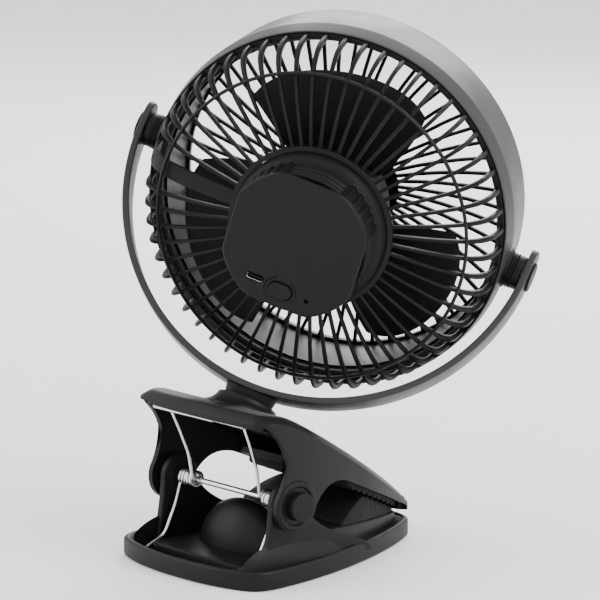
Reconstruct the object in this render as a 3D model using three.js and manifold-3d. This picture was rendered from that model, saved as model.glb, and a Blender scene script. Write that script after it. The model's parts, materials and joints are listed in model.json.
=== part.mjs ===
// Clip-on desk fan with a rechargeable head, built from separate solids.
// Millimetres, +Z up. The origin is the centre of the flat underside, X runs along the clamp hinge,
// +Y runs from the finger handle to the jaw tips. The resting pose is the fan as it stands:
// clamp closed, yoke swung round its swivel and the head tilted in the yoke.

import * as THREE from 'three';
import { mergeVertices } from 'three/addons/utils/BufferGeometryUtils.js';
import Module from 'manifold-3d';

const wasm = await Module();
wasm.setup();

// ---------------------------------------------------------------------------------------------
// Driving dimensions

const gap = 0.3; // air left between pieces that seat on each other
const bite = 1; // how far a cutting tool runs past the face it opens

// lower jaw, which is also the foot
const foot_length = 150;
const foot_half_width = 55;
const foot_tip_half_width = 21;
const foot_bow = 8; // how far the rear edge bows out in its middle
const foot_corner = 8;
const foot_wall_height = 10;
const foot_wall = 2.5;
const foot_floor = 2.5;
const plate_thickness = 2;
const plate_edge = 3.5; // rim of the foot left outside the bottom plate
const rubber_foot_radius = 5;
const deck_rear_offset = 27; // rear edge of the deck ahead of the hinge axis
const deck_front_inset = 11; // behind the front edge of the foot
const deck_rear_height = 21;
const deck_inset = 7;
const dome_half_width = 30;
const dome_half_depth = 15;
const dome_clearance = 6.5; // top of the dome below the hinge axis
const dome_offset = 8; // ahead of the hinge axis

// clamp hinge
const hinge_inset = 40; // hinge axis ahead of the rear edge of the foot
const hinge_height = 39;
const rod_radius = 1.5;
const lower_ear_radius = 11;
const lower_ear_thickness = 4;
const ear_clearance = 2.2;
const ear_pad_clearance = 2; // between the foot of the lower ears and the lower pad
const shoulder_drop = 3.5; // top of the shoulders below the upper ears
const shoulder_rear_drop = 6; // their rear end below their top

// upper jaw
const upper_rear_inset = 15; // rear edge of the handle ahead of that of the foot
const upper_front_overhang = 2; // tips ahead of the front edge of the foot
const upper_side_inset = 5; // sides inside those of the foot
const upper_tip_inset = 3;
const upper_bow = 2;
const upper_corner = 6;
const upper_wall = 4;
const upper_skin = 3;
const upper_ear_radius = 13.5;
const ear_boss_height = 0.8;
const handle_rise = 49; // top of the handle above the hinge axis
const lip_height = 6;
const tip_crown_rise = 9; // crown of the tips above the foot's wall
const tip_mouth_rise = 3.4; // lower edge of the tips above the foot's wall
const pivot_cap_radius = 7.4;
const pivot_cap_recess = 1.5;
const pivot_cap_proud = 4.4; // above the ear boss

// rubber jaw pads
const pad_lip = 1.2; // thickness of the lower pad at its rear edge
const pad_front_thickness = 1.7; // of the lower pad
const pad_drop = 3.3; // face of the upper pad below the edge of its jaw
const pad_rear_offset = 45; // rear edge of the upper pad ahead of the hinge axis
const lower_pad_rear_offset = 41;
const pad_crest_offset = 62; // where the ramp of the lower pad reaches the upper pad
const pad_front_inset = 13; // behind the front edge of the foot
const pad_tooth_pitch = 5.2;
const pad_tooth_depth = 1;

// clamp spring
const wire_radius = 0.9;
const coil_radius = 4.7;
const coil_length = 13;
const coil_ear_clearance = 1.8;
const bar_drop = 9.5; // spring bar below the top of the handle
const bar_tail_overhang = 2; // tail of the bar past the outer end of the coil

// swivel and yoke
const swivel_lean = 31.5; // degrees, the swivel axis leans towards the jaw tips
const swivel_turn = 38.5; // degrees, how far the yoke stands swung round
const swivel_offset = 8.4; // ahead of the hinge axis
const collar_height = 5;
const collar_radius = 16;
const collar_flare = 21;
const saddle_height = 4.4;
const saddle_length = 26;
const swivel_screw_radius = 2.5;
const yoke_clearance = 8; // between the head ring and the yoke
const yoke_thickness = 4;
const yoke_width = 19;
const yoke_end_reach = 4.5; // straight length of the yoke past the tilt pivots
const swivel_washer_radius = 7;
const swivel_head_radius = 5;
const swivel_head_height = 2.6;
const washer_thickness = 1;
const washer_clearance = 0.2; // between the washer's edge and the skin

// head: the fan axis is the head's own Y, with the blown air leaving along +Y
const head_tilt = 35.5; // degrees
const ring_radius = 97;
const ring_front_taper = 2.5; // how much smaller the side is at the front lip
const ring_front = 30; // front lip ahead of the tilt axis
const ring_rear = 15.5; // rear edge behind the tilt axis
const ring_crease = 5; // where the side turns in to the rear edge
const ring_rear_taper = 1.6;
const ring_wall = 7.5;
const ring_rebate = 4.2;
const tilt_boss_radius = 9.2;
const tilt_boss_reach = 3.4;
const tilt_screw_radius = 2;
const tilt_cap_radius = 7.8;
const tilt_cap_recess = 2; // sunk into the yoke
const tilt_cap_proud = 1.2;
const tilt_head_radius = 4;
const tilt_head_height = 1.3;

// guards
const rear_rib_count = 56;
const rib_width = 2;
const rib_depth = 2.6;
const spoke_width = 9.5; // the one wide spoke, beside the left pivot
const spoke_depth = 3;
const guard_ring_width = 2.8;
const guard_back = 42; // flat back of the rear guard behind the tilt axis
const hoop_inset = 15.5; // hoop inside the side of the ring
const guard_shoulder_inset = 5;
const front_rib_count = 56;
const front_rib_width = 2;
const shroud_wall = 1; // of the skirt that lines the ring behind the front guard
const shroud_rear = 7; // its rear edge behind the tilt axis
const front_rib_depth = 2.4;
const front_rib_sweep = 7; // degrees between the two ends of a front rib
const front_centre_radius = 27;
const badge_thickness = 2;

// rear housing and its cover
const drum_cell_clearance = 4.1; // between the cells' corners and the drum
const drum_root_step = 3.6; // how far the root of the drum stands out
const drum_depth_allowance = 8; // depth of the drum past the guard, beyond the cells' own
const drum_hub_clearance = 3; // behind the impeller hub
const drum_wall = 2;
const cover_overhang = 1.3; // past the drum
const cover_flat_inset = 2; // flats of the cover inside the side of the drum
const cover_thickness = 3.5;
const control_drop = 25.8; // controls below the centre of the cover
const usb_lift = 2.2; // charging socket above the other controls
const control_pitch = 14.3;
const button_half_length = 6.2;
const button_half_height = 4.2;
const button_proud = 0.8;
const usb_half_length = 4.6;
const usb_half_height = 1.7;
const socket_wall = 0.5;
const socket_length = 1.6;
const led_radius = 1;
const board_thickness = 1.6;
const cell_radius = 9;
const cell_length = 50;

// motor and impeller
const shaft_radius = 1.5;
const tube_radius = 5;
const stator_radius = 17.5;
const stator_length = 11;
const stator_clearance = 2.7; // between the stator and the can
const can_wall = 1.8;
const can_length = 16;
const hub_clearance = 4.5; // between the can and the hub
const hub_wall = 2;
const hub_front = 9;
const hub_rear = -21;
const blade_count = 3;
const blade_tip_clearance = 12.5; // between the blades and the ring
const blade_root_span = 86; // degrees
const blade_root_lead = 7; // degrees, how far the middle of the root runs ahead of the tip's
const blade_tip_span = 74;
const blade_root_depth = 22; // axial depth of a blade
const blade_tip_depth = 22;
const blade_root_y = -9; // axial middle of a blade
const blade_tip_y = -16;
const blade_camber = 3;
const blade_thickness = 2;
const blade_start = 99; // degrees, centre of the first blade

// ---------------------------------------------------------------------------------------------
// Places and sizes that follow from the driving dimensions

const foot_rear = -foot_length / 2;
const foot_front = foot_length / 2;
const hinge_y = foot_rear + hinge_inset;
const deck_rear_y = hinge_y + deck_rear_offset;
const deck_front_y = foot_front - deck_front_inset;
const dome_height = hinge_height - dome_clearance;
const dome_y = hinge_y + dome_offset;
const shoulder_height = hinge_height - upper_ear_radius - shoulder_drop;
const shoulder_rear_height = shoulder_height - shoulder_rear_drop;
const upper_rear_y = foot_rear + upper_rear_inset;
const upper_front_y = foot_front + upper_front_overhang;
const upper_half_width = foot_half_width - upper_side_inset;
const upper_tip_half_width = foot_tip_half_width - upper_tip_inset;
const handle_top = hinge_height + handle_rise;
const pad_rear_y = hinge_y + pad_rear_offset;
const lower_pad_rear_y = hinge_y + lower_pad_rear_offset;
const pad_crest_y = hinge_y + pad_crest_offset;
const pad_front_y = foot_front - pad_front_inset;
const swivel_y = hinge_y + swivel_offset;
const yoke_radius = ring_radius + yoke_clearance + yoke_thickness;
const ring_front_radius = ring_radius - ring_front_taper;
const ring_rear_radius = ring_radius - ring_rear_taper;
const ring_bore = ring_radius - ring_wall;
const hoop_radius = ring_radius - hoop_inset;
const guard_shoulder_radius = ring_radius - guard_shoulder_inset;
const cell_corner_radius = Math.hypot(cell_length / 2, 2 * cell_radius + gap / 2);
const drum_rear_radius = cell_corner_radius + drum_cell_clearance + drum_wall;
const drum_root_radius = drum_rear_radius + drum_root_step;
const drum_rear = guard_back + 2 * cell_radius + drum_depth_allowance;
const drum_front = drum_hub_clearance - hub_rear;
const cover_radius = drum_rear_radius + cover_overhang;
const cover_flat = drum_rear_radius - cover_flat_inset;
const can_radius = stator_radius + stator_clearance + can_wall;
const hub_radius = can_radius + hub_clearance + hub_wall;
const blade_tip_radius = ring_bore - blade_tip_clearance;

// ---------------------------------------------------------------------------------------------
// Finishes

const finish = (color, roughness, metalness = 0) =>
  new THREE.MeshStandardMaterial({ color, roughness, metalness });
const black_plastic = () => finish(0x141414, 0.5);
const dark_plastic = () => finish(0x0d0d0e, 0.6);
const grey_plastic = () => finish(0x3c3d3f, 0.4);
const rubber = () => finish(0x101010, 0.9);
const steel = () => finish(0xc9c9c6, 0.25, 1);
const green_board = () => finish(0x1e4a2c, 0.6);
const cell_wrap = () => finish(0x2f4b7c, 0.5);
const copper = () => finish(0xb06a3b, 0.4, 0.8);
const clear_plastic = () => finish(0xd8d8d0, 0.3);
const plated_steel = () => finish(0x8a8c90, 0.35, 1);

// ---------------------------------------------------------------------------------------------
// Solids

const radians = THREE.MathUtils.degToRad;
const lerp = THREE.MathUtils.lerp;

// A closed geometry as a solid that can be joined and cut.
function solid(geometry) {
  const bare = geometry.clone();
  bare.deleteAttribute('normal');
  bare.deleteAttribute('uv');
  const merged = mergeVertices(bare, 1e-4);
  return new wasm.Manifold(new wasm.Mesh({
    numProp: 3,
    vertProperties: new Float32Array(merged.attributes.position.array),
    triVerts: new Uint32Array(merged.index.array),
  }));
}

// A solid as a geometry again.
function surface(body) {
  const mesh = body.getMesh();
  const geometry = new THREE.BufferGeometry();
  geometry.setAttribute('position', new THREE.BufferAttribute(mesh.vertProperties, 3));
  geometry.setIndex(new THREE.BufferAttribute(mesh.triVerts, 1));
  geometry.computeVertexNormals();
  return geometry;
}

const join = (bodies) => bodies.reduce((whole, body) => whole.add(body));

// Turns a profile of [radius, y] points round Y.
function turned(profile, segments = 48) {
  const points = profile.map(([radius, y]) => new THREE.Vector2(radius, y));
  return new THREE.LatheGeometry(points, segments);
}

// Turns a closed ring section, given anticlockwise, round Y.
function ring(section, segments = 48) {
  return turned([...section, section[0]], segments);
}

const tube_section = (inner, outer, low, high) => (
  [[inner, low], [outer, low], [outer, high], [inner, high]]
);

// A cylinder along X, between two X values.
function pin(radius, from, to, y = 0, z = 0, segments = 24) {
  const geometry = new THREE.CylinderGeometry(radius, radius, to - from, segments);
  geometry.rotateZ(-Math.PI / 2);
  geometry.translate((from + to) / 2, y, z);
  return geometry;
}

// An outline drawn in Y and Z, carried along X between two X values.
function side_slab(outline, from, to, segments = 6) {
  const geometry = new THREE.ExtrudeGeometry(outline, {
    depth: to - from, bevelEnabled: false, curveSegments: segments,
  });
  geometry.rotateX(Math.PI / 2);
  geometry.rotateZ(Math.PI / 2);
  geometry.translate(from, 0, 0);
  return geometry;
}

// An outline drawn in X and Y, carried up between two heights.
function plan_slab(outline, low, high, segments = 6) {
  const geometry = new THREE.ExtrudeGeometry(outline, {
    depth: high - low, bevelEnabled: false, curveSegments: segments,
  });
  geometry.translate(0, 0, low);
  return geometry;
}

// An outline drawn in X and Z, carried along Y between two Y values.
function face_slab(outline, from, to, segments = 12) {
  const geometry = new THREE.ExtrudeGeometry(outline, {
    depth: to - from, bevelEnabled: false, curveSegments: segments,
  });
  geometry.rotateX(Math.PI / 2);
  geometry.translate(0, to, 0);
  return geometry;
}

// A round wire along a smooth line through the given points.
function wire(points, radius, steps) {
  const section = new THREE.Shape().absarc(0, 0, radius, 0, 2 * Math.PI);
  const places = points.map((point) => new THREE.Vector3(...point));
  const path = new THREE.CatmullRomCurve3(places, false, 'catmullrom', 0.15);
  return new THREE.ExtrudeGeometry(section, { steps, extrudePath: path, curveSegments: 3 });
}

const fan = new THREE.Group();

function add(name, geometry, material, parent) {
  const mesh = new THREE.Mesh(geometry, material);
  mesh.name = name;
  parent.add(mesh);
  return mesh;
}

// ---------------------------------------------------------------------------------------------
// Outlines of the clamp

// A shield: a gently bowed rear edge, full sides and a narrow blunt tip.
function shield(size, inset) {
  const low = size.rear + inset;
  const high = size.front - inset;
  const wide = size.half_width - inset;
  const tip = size.tip_half_width - inset;
  const length = high - low;
  const side_start = low + size.bow + 2 * size.corner;
  const half = new THREE.Path();
  half.moveTo(0, low);
  half.quadraticCurveTo(0.55 * wide, low, wide - size.corner, low + size.bow);
  half.quadraticCurveTo(wide, low + size.bow + 0.4 * size.corner, wide, side_start);
  half.bezierCurveTo(
    wide, low + 0.45 * length, (wide + tip) / 2, low + 0.78 * length, tip, high - 0.04 * length,
  );
  half.quadraticCurveTo(0.85 * tip, high, 0, high);
  const right = half.getPoints(4);
  const left = right.slice(1, -1).reverse().map((p) => new THREE.Vector2(-p.x, p.y));
  return new THREE.Shape([...right, ...left]);
}

const foot_size = {
  rear: foot_rear, front: foot_front, half_width: foot_half_width, tip_half_width: foot_tip_half_width,
  bow: foot_bow, corner: foot_corner,
};
const upper_size = {
  rear: upper_rear_y, front: upper_front_y, half_width: upper_half_width,
  tip_half_width: upper_tip_half_width, bow: upper_bow, corner: upper_corner,
};
const foot_outline = (inset) => shield(foot_size, inset);
const upper_outline = (inset) => shield(upper_size, inset);

const foot_floor_top = plate_thickness + gap + foot_floor;
const tip_height = foot_wall_height + tip_crown_rise;

// The crown of the upper jaw: level over the handle, then rolled over and straight down to the tips.
const crown_bend_y = hinge_y - 7;
const crown_roll = 9;
const crown_slope = (handle_top - tip_height) / (upper_front_y - crown_bend_y);
function crown(y) {
  const past_bend = y - crown_bend_y;
  return handle_top - (crown_slope * (past_bend + Math.hypot(past_bend, crown_roll))) / 2;
}
const crown_stations = [-1.6, -0.8, 0, 0.8, 1.6, 3].map((roll) => crown_bend_y + roll * crown_roll);

// Lower edge of the upper jaw's side wall, between the hinge ears and the tips.
const mouth_arch_y = hinge_y + 39;
const mouth_arch_height = hinge_height + 6;
const mouth_tip_height = foot_wall_height + tip_mouth_rise;
function mouth_edge(y) {
  const share = (y - mouth_arch_y) / (upper_front_y - mouth_arch_y);
  return mouth_arch_height + share * (mouth_tip_height - mouth_arch_height);
}

const upper_pad_face = (y) => mouth_edge(y) - pad_drop;
const lower_pad_face = (y) => upper_pad_face(y) - gap;

// The deck falls from its rear edge to what the lower pad leaves at its front edge.
const deck_front_height = lower_pad_face(pad_front_y) - pad_front_thickness - gap;
const deck_slope = (deck_front_height - deck_rear_height) / (pad_front_y - deck_rear_y);
const deck_top = (y) => deck_rear_height + (y - deck_rear_y) * deck_slope;

// ---------------------------------------------------------------------------------------------
// Lower jaw

const upper_ear_inner = upper_half_width - upper_wall;
const lower_ear_outer = upper_ear_inner - ear_clearance;
const lower_ear_inner = lower_ear_outer - lower_ear_thickness;

function lower_ear_outline() {
  const outline = new THREE.Shape();
  const foot_back = hinge_y - lower_ear_radius - 4;
  const foot_fore = lower_pad_rear_y - ear_pad_clearance;
  const floor = plate_thickness + gap;
  outline.moveTo(foot_back, floor);
  outline.lineTo(foot_fore, floor);
  outline.lineTo(foot_fore, deck_top(foot_fore) + 0.5);
  outline.quadraticCurveTo(
    hinge_y + lower_ear_radius + 3, deck_rear_height + 2, hinge_y + lower_ear_radius, hinge_height,
  );
  outline.absarc(hinge_y, hinge_height, lower_ear_radius, 0, Math.PI, false);
  outline.lineTo(foot_back, floor);
  return outline;
}

function shoulder_outline(side) {
  const outline = new THREE.Shape();
  const floor = plate_thickness + gap;
  const inner = side * (lower_ear_outer - 0.5);
  const outer = side * (foot_half_width - foot_wall);
  outline.moveTo(inner, floor);
  outline.lineTo(outer, floor);
  outline.lineTo(outer, foot_wall_height - 1);
  outline.quadraticCurveTo(outer - side, shoulder_height - 3, inner, shoulder_height);
  return outline;
}

// The shoulders rise from the rear wall of the foot, run level beside the ears and fall to the deck.
function shoulder_side_outline() {
  const outline = new THREE.Shape();
  const rear = foot_rear + foot_bow - 1;
  const front = deck_rear_y + 8;
  outline.moveTo(rear, 0);
  outline.lineTo(front, 0);
  outline.lineTo(front, deck_rear_height - 2);
  outline.lineTo(hinge_y + 12, shoulder_height);
  outline.lineTo(hinge_y - 14, shoulder_height);
  outline.lineTo(rear + 5, shoulder_rear_height);
  outline.lineTo(rear, foot_wall_height);
  return outline;
}

function lower_jaw() {
  const tray = solid(plan_slab(foot_outline(0), 0, foot_wall_height));
  const tray_hollow = solid(plan_slab(foot_outline(foot_wall), foot_floor_top, foot_wall_height + bite));
  const plate_recess = solid(plan_slab(foot_outline(plate_edge), -bite, plate_thickness + gap));

  const deck_profile = new THREE.Shape();
  deck_profile.moveTo(deck_rear_y, plate_thickness + gap);
  deck_profile.lineTo(deck_front_y, plate_thickness + gap);
  deck_profile.lineTo(deck_front_y, deck_top(deck_front_y));
  deck_profile.lineTo(deck_rear_y, deck_rear_height);
  const deck = solid(side_slab(deck_profile, -foot_half_width, foot_half_width))
    .intersect(solid(plan_slab(foot_outline(deck_inset), 0, shoulder_height + bite)));

  const dome_shape = new THREE.SphereGeometry(1, 24, 14);
  dome_shape.scale(dome_half_width, dome_half_depth, dome_height - foot_floor_top);
  dome_shape.translate(0, dome_y, foot_floor_top);
  const dome_room = solid(plan_slab(foot_outline(foot_wall), foot_floor_top - 1, hinge_height));
  const dome = solid(dome_shape).intersect(dome_room);

  const bodies = [tray.subtract(tray_hollow).subtract(plate_recess), deck, dome];
  for (const side of [-1, 1]) {
    const from = side > 0 ? lower_ear_inner : -lower_ear_outer;
    bodies.push(solid(side_slab(lower_ear_outline(), from, from + lower_ear_thickness)));
    const shoulder = solid(face_slab(shoulder_outline(side), foot_rear, 0, 5))
      .intersect(solid(side_slab(shoulder_side_outline(), -foot_half_width, foot_half_width)));
    bodies.push(shoulder.intersect(solid(plan_slab(foot_outline(foot_wall / 2), 0, hinge_height))));
  }
  const bore = solid(pin(rod_radius + gap, -foot_half_width, foot_half_width, hinge_y, hinge_height, 16));
  return surface(join(bodies).subtract(bore));
}

const foot = new THREE.Group();
fan.add(foot);
add('lower_jaw', lower_jaw(), black_plastic(), foot);

// Four round rubber feet sit in holes of the bottom plate, level with it.
const rubber_foot_places = [
  [0.62 * foot_half_width, foot_rear + 0.14 * foot_length],
  [-0.62 * foot_half_width, foot_rear + 0.14 * foot_length],
  [0.4 * foot_half_width, foot_rear + 0.78 * foot_length],
  [-0.4 * foot_half_width, foot_rear + 0.78 * foot_length],
];
function upright_disc(radius, low, high, x, y, segments = 14) {
  const geometry = new THREE.CylinderGeometry(radius, radius, high - low, segments);
  geometry.rotateX(Math.PI / 2);
  geometry.translate(x, y, (low + high) / 2);
  return geometry;
}
let bottom_plate = solid(plan_slab(foot_outline(plate_edge + gap), 0, plate_thickness));
rubber_foot_places.forEach(([x, y], index) => {
  const hole = upright_disc(rubber_foot_radius + gap, -bite, plate_thickness + bite, x, y);
  bottom_plate = bottom_plate.subtract(solid(hole));
  const pad = upright_disc(rubber_foot_radius, 0, plate_thickness, x, y);
  add(`rubber_foot_${index + 1}`, pad, rubber(), foot);
});
add('bottom_plate', surface(bottom_plate), dark_plastic(), foot);

// ---------------------------------------------------------------------------------------------
// Jaw pads: rubber with cross teeth, tapering with the jaws

// Points along a toothed face from one y to another; the teeth stand proud in the given direction.
function tooth_edge(rear, height_at, direction) {
  const points = [];
  const count = Math.round((pad_front_y - rear) / pad_tooth_pitch);
  const pitch = (pad_front_y - rear) / count;
  for (let tooth = 0; tooth < count; tooth += 1) {
    const y = rear + tooth * pitch;
    points.push([y, height_at(y)]);
    points.push([y + 0.55 * pitch, height_at(y + 0.55 * pitch)]);
    points.push([y + 0.7 * pitch, height_at(y + 0.7 * pitch) - direction * pad_tooth_depth]);
    points.push([y + 0.9 * pitch, height_at(y + 0.9 * pitch) - direction * pad_tooth_depth]);
  }
  points.push([pad_front_y, height_at(pad_front_y)]);
  return points;
}

function pad(rear, face_points, seated_face, plan) {
  const outline = new THREE.Shape();
  outline.moveTo(rear, seated_face(rear));
  outline.lineTo(pad_front_y, seated_face(pad_front_y));
  for (const [y, z] of face_points.reverse()) {
    outline.lineTo(y, z);
  }
  const slab = solid(side_slab(outline, -foot_half_width, foot_half_width));
  return surface(slab.intersect(solid(plan_slab(plan, 0, handle_top))));
}

// The lower pad rises in a plain ramp to its crest, and from there the two pads meet face to face.
const upper_pad_hold = 3;
const upper_pad_seat = (y) => mouth_edge(y) + upper_pad_hold;
const lower_pad_seat = (y) => deck_top(y) + gap;
const pad_side_margin = 1;
const lower_pad_points = [
  [lower_pad_rear_y, lower_pad_seat(lower_pad_rear_y) + pad_lip],
  ...tooth_edge(pad_crest_y, lower_pad_face, 1),
];
const lower_pad_plan = foot_outline(deck_inset + pad_side_margin);
add('lower_pad', pad(lower_pad_rear_y, lower_pad_points, lower_pad_seat, lower_pad_plan), rubber(), foot);

// ---------------------------------------------------------------------------------------------
// Upper jaw: handle, skirt with two hinge ears, pad seat and swivel collar

function upper_side_outline() {
  const outline = new THREE.Shape();
  const ear_front_angle = radians(-30);
  const ear_rear_angle = radians(158);
  const waist_y = hinge_y - 5.5;
  const waist_height = hinge_height + 20;
  outline.moveTo(upper_rear_y, handle_top - lip_height);
  for (const y of [upper_rear_y, ...crown_stations, upper_front_y]) {
    outline.lineTo(y, crown(y));
  }
  outline.lineTo(upper_front_y, mouth_edge(upper_front_y));
  outline.lineTo(mouth_arch_y, mouth_edge(mouth_arch_y));
  outline.bezierCurveTo(
    mouth_arch_y - 9, mouth_arch_height + 3,
    hinge_y + upper_ear_radius + 6, hinge_height + 8,
    hinge_y + upper_ear_radius * Math.cos(ear_front_angle),
    hinge_height + upper_ear_radius * Math.sin(ear_front_angle),
  );
  outline.absarc(hinge_y, hinge_height, upper_ear_radius, ear_front_angle, ear_rear_angle, true);
  outline.quadraticCurveTo(waist_y - 4, hinge_height + 9, waist_y, waist_height);
  outline.bezierCurveTo(
    waist_y - 1, waist_height + 10,
    upper_rear_y + 12, handle_top - lip_height - 3,
    upper_rear_y, handle_top - lip_height,
  );
  return outline;
}

function upper_hollow_outline() {
  const outline = new THREE.Shape();
  const block_y = pad_rear_y - upper_wall;
  outline.moveTo(upper_rear_y, 0);
  for (const y of [upper_rear_y, ...crown_stations, block_y]) {
    outline.lineTo(y, crown(y) - upper_skin);
  }
  outline.lineTo(block_y, 0);
  return outline;
}

function pad_seat_outline() {
  const outline = new THREE.Shape();
  const rear = pad_rear_y - gap;
  const front = pad_front_y + gap;
  outline.moveTo(rear, 0);
  outline.lineTo(rear, upper_pad_seat(rear) + gap);
  outline.lineTo(front, upper_pad_seat(front) + gap);
  outline.lineTo(front, 0);
  return outline;
}

// Places a geometry made round its own Y on the swivel axis, a height above the upper jaw's crown.
function on_swivel(geometry, height) {
  geometry.rotateX(Math.PI / 2);
  geometry.translate(0, 0, height);
  geometry.rotateX(-radians(swivel_lean));
  geometry.translate(0, swivel_y, crown(swivel_y));
  return geometry;
}

function upper_jaw() {
  const wide = upper_half_width + bite;
  const room = plan_slab(upper_outline(0), 0, handle_top + bite);
  const outside = solid(side_slab(upper_side_outline(), -wide, wide)).intersect(solid(room));
  const inner_room = solid(plan_slab(upper_outline(upper_wall), -bite, handle_top + bite));
  const hollow = solid(side_slab(upper_hollow_outline(), -wide, wide)).intersect(inner_room);
  const seat = solid(side_slab(pad_seat_outline(), -wide, wide)).intersect(inner_room);
  const collar = solid(on_swivel(turned([
    [0, -upper_skin + 0.2], [collar_flare - 3, -upper_skin + 0.2], [collar_flare - 1, -1.5],
    [collar_flare, 0], [collar_radius + 2, 1], [collar_radius + 0.5, 2],
    [collar_radius, 3.5], [collar_radius - 0.5, collar_height], [0, collar_height],
  ], 32), 0));
  const bosses = [-1, 1].map((side) => {
    const inner = upper_half_width - 0.5;
    const outer = upper_half_width + ear_boss_height;
    const from = side > 0 ? inner : -outer;
    const to = side > 0 ? outer : -inner;
    return solid(pin(upper_ear_radius - 1, from, to, hinge_y, hinge_height, 28));
  });
  const swivel_bore = solid(on_swivel(
    new THREE.CylinderGeometry(swivel_screw_radius + gap, swivel_screw_radius + gap, 30, 20), 0,
  ));
  const hinge_bore = solid(pin(rod_radius + gap, -wide - 2, wide + 2, hinge_y, hinge_height, 16));
  let body = join([outside.subtract(hollow).subtract(seat), collar, ...bosses]);
  body = body.subtract(swivel_bore).subtract(hinge_bore);
  for (const side of [-1, 1]) {
    const inner = upper_half_width - pivot_cap_recess;
    const outer = upper_half_width + ear_boss_height + bite;
    const from = side > 0 ? inner : -outer;
    const to = side > 0 ? outer : -inner;
    body = body.subtract(solid(pin(pivot_cap_radius + gap, from, to, hinge_y, hinge_height, 32)));
  }
  return surface(body);
}

const upper = new THREE.Group();
fan.add(upper);
add('upper_jaw', upper_jaw(), black_plastic(), upper);
const upper_pad_points = tooth_edge(pad_rear_y, upper_pad_face, -1);
const upper_pad_plan = upper_outline(upper_wall + gap);
add('upper_pad', pad(pad_rear_y, upper_pad_points, upper_pad_seat, upper_pad_plan), rubber(), upper);

for (const [side, word] of [[-1, 'left'], [1, 'right']]) {
  const inner = upper_half_width - pivot_cap_recess + gap;
  const outer = upper_half_width + ear_boss_height + pivot_cap_proud;
  const from = side > 0 ? inner : -outer;
  const to = side > 0 ? outer : -inner;
  add(`hinge_cap_${word}`, pin(pivot_cap_radius, from, to, hinge_y, hinge_height, 32), dark_plastic(), upper);
}

// ---------------------------------------------------------------------------------------------
// Hinge rod and the clamp spring: a coil at each side of the rod, each turning with both jaws

const rod_reach = upper_half_width - pivot_cap_recess - gap;
add('hinge_rod', pin(rod_radius, -rod_reach, rod_reach, hinge_y, hinge_height, 16), steel(), foot);

const coil_outer_x = lower_ear_inner - coil_ear_clearance;
const coil_inner_x = coil_outer_x - coil_length;
const coil_middle_x = (coil_inner_x + coil_outer_x) / 2;
const coil_mean = coil_radius - wire_radius;

function coil_sleeve(from, to) {
  const sleeve = new THREE.LatheGeometry([
    new THREE.Vector2(rod_radius + gap, from), new THREE.Vector2(coil_radius, from),
    new THREE.Vector2(coil_radius, to), new THREE.Vector2(rod_radius + gap, to),
    new THREE.Vector2(rod_radius + gap, from),
  ], 16);
  sleeve.rotateZ(-Math.PI / 2);
  sleeve.translate(0, hinge_y, hinge_height);
  return solid(sleeve);
}

const lower_leg_x = coil_outer_x - 2;
const upper_leg_x = coil_inner_x + 2;
for (const [side, word] of [[-1, 'left'], [1, 'right']]) {
  const near = coil_middle_x + gap / 2;
  const from = side > 0 ? near : -coil_outer_x;
  const to = side > 0 ? coil_outer_x : -near;
  const leg = wire([
    [side * lower_leg_x, hinge_y + coil_mean * 0.84, hinge_height - coil_mean * 0.54],
    [side * lower_leg_x, hinge_y - 6, hinge_height - 16],
    [side * lower_leg_x, hinge_y - 14, foot_floor_top + 6],
    [side * lower_leg_x, hinge_y - 17, foot_floor_top + 3],
    [side * lower_leg_x, foot_rear + 13, foot_floor_top + wire_radius + gap],
  ], wire_radius, 10);
  const spring = coil_sleeve(from, to).add(solid(leg));
  add(`spring_lower_${word}`, surface(spring), steel(), foot);
}

const bar_y = upper_rear_y + upper_wall + upper_bow + 2.6;
const bar_height = handle_top - bar_drop;
function upper_spring() {
  const bodies = [];
  for (const side of [-1, 1]) {
    const far = coil_middle_x - gap / 2;
    bodies.push(side > 0 ? coil_sleeve(coil_inner_x, far) : coil_sleeve(-far, -coil_inner_x));
    bodies.push(solid(wire([
      [side * upper_leg_x, hinge_y + coil_mean * 0.94, hinge_height + coil_mean * 0.35],
      [side * upper_leg_x, hinge_y - 8, (hinge_height + bar_height) / 2 + 4],
      [side * (upper_leg_x + 1), bar_y, bar_height],
    ], 0.9 * wire_radius, 6)));
  }
  const bar_tail_x = -coil_outer_x - bar_tail_overhang;
  bodies.push(solid(pin(wire_radius, bar_tail_x, upper_leg_x + 2.5, bar_y, bar_height, 9)));
  return surface(join(bodies));
}
add('spring_upper', upper_spring(), steel(), upper);

// ---------------------------------------------------------------------------------------------
// Swivel: everything from here stands on the leaning axis, measured up from the jaw's crown

const swivel = new THREE.Group();
swivel.position.set(0, swivel_y, crown(swivel_y));
swivel.rotation.set(-radians(swivel_lean), 0, radians(swivel_turn));
fan.add(swivel);

const saddle_low = collar_height + gap;
const saddle_high = saddle_low + saddle_height;
const yoke_centre = saddle_high + gap + yoke_radius;

// The screw turns with the yoke; its head and washer bear on the jaw's skin from inside.
const screw_top = yoke_centre - yoke_radius + yoke_thickness - gap;
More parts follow.
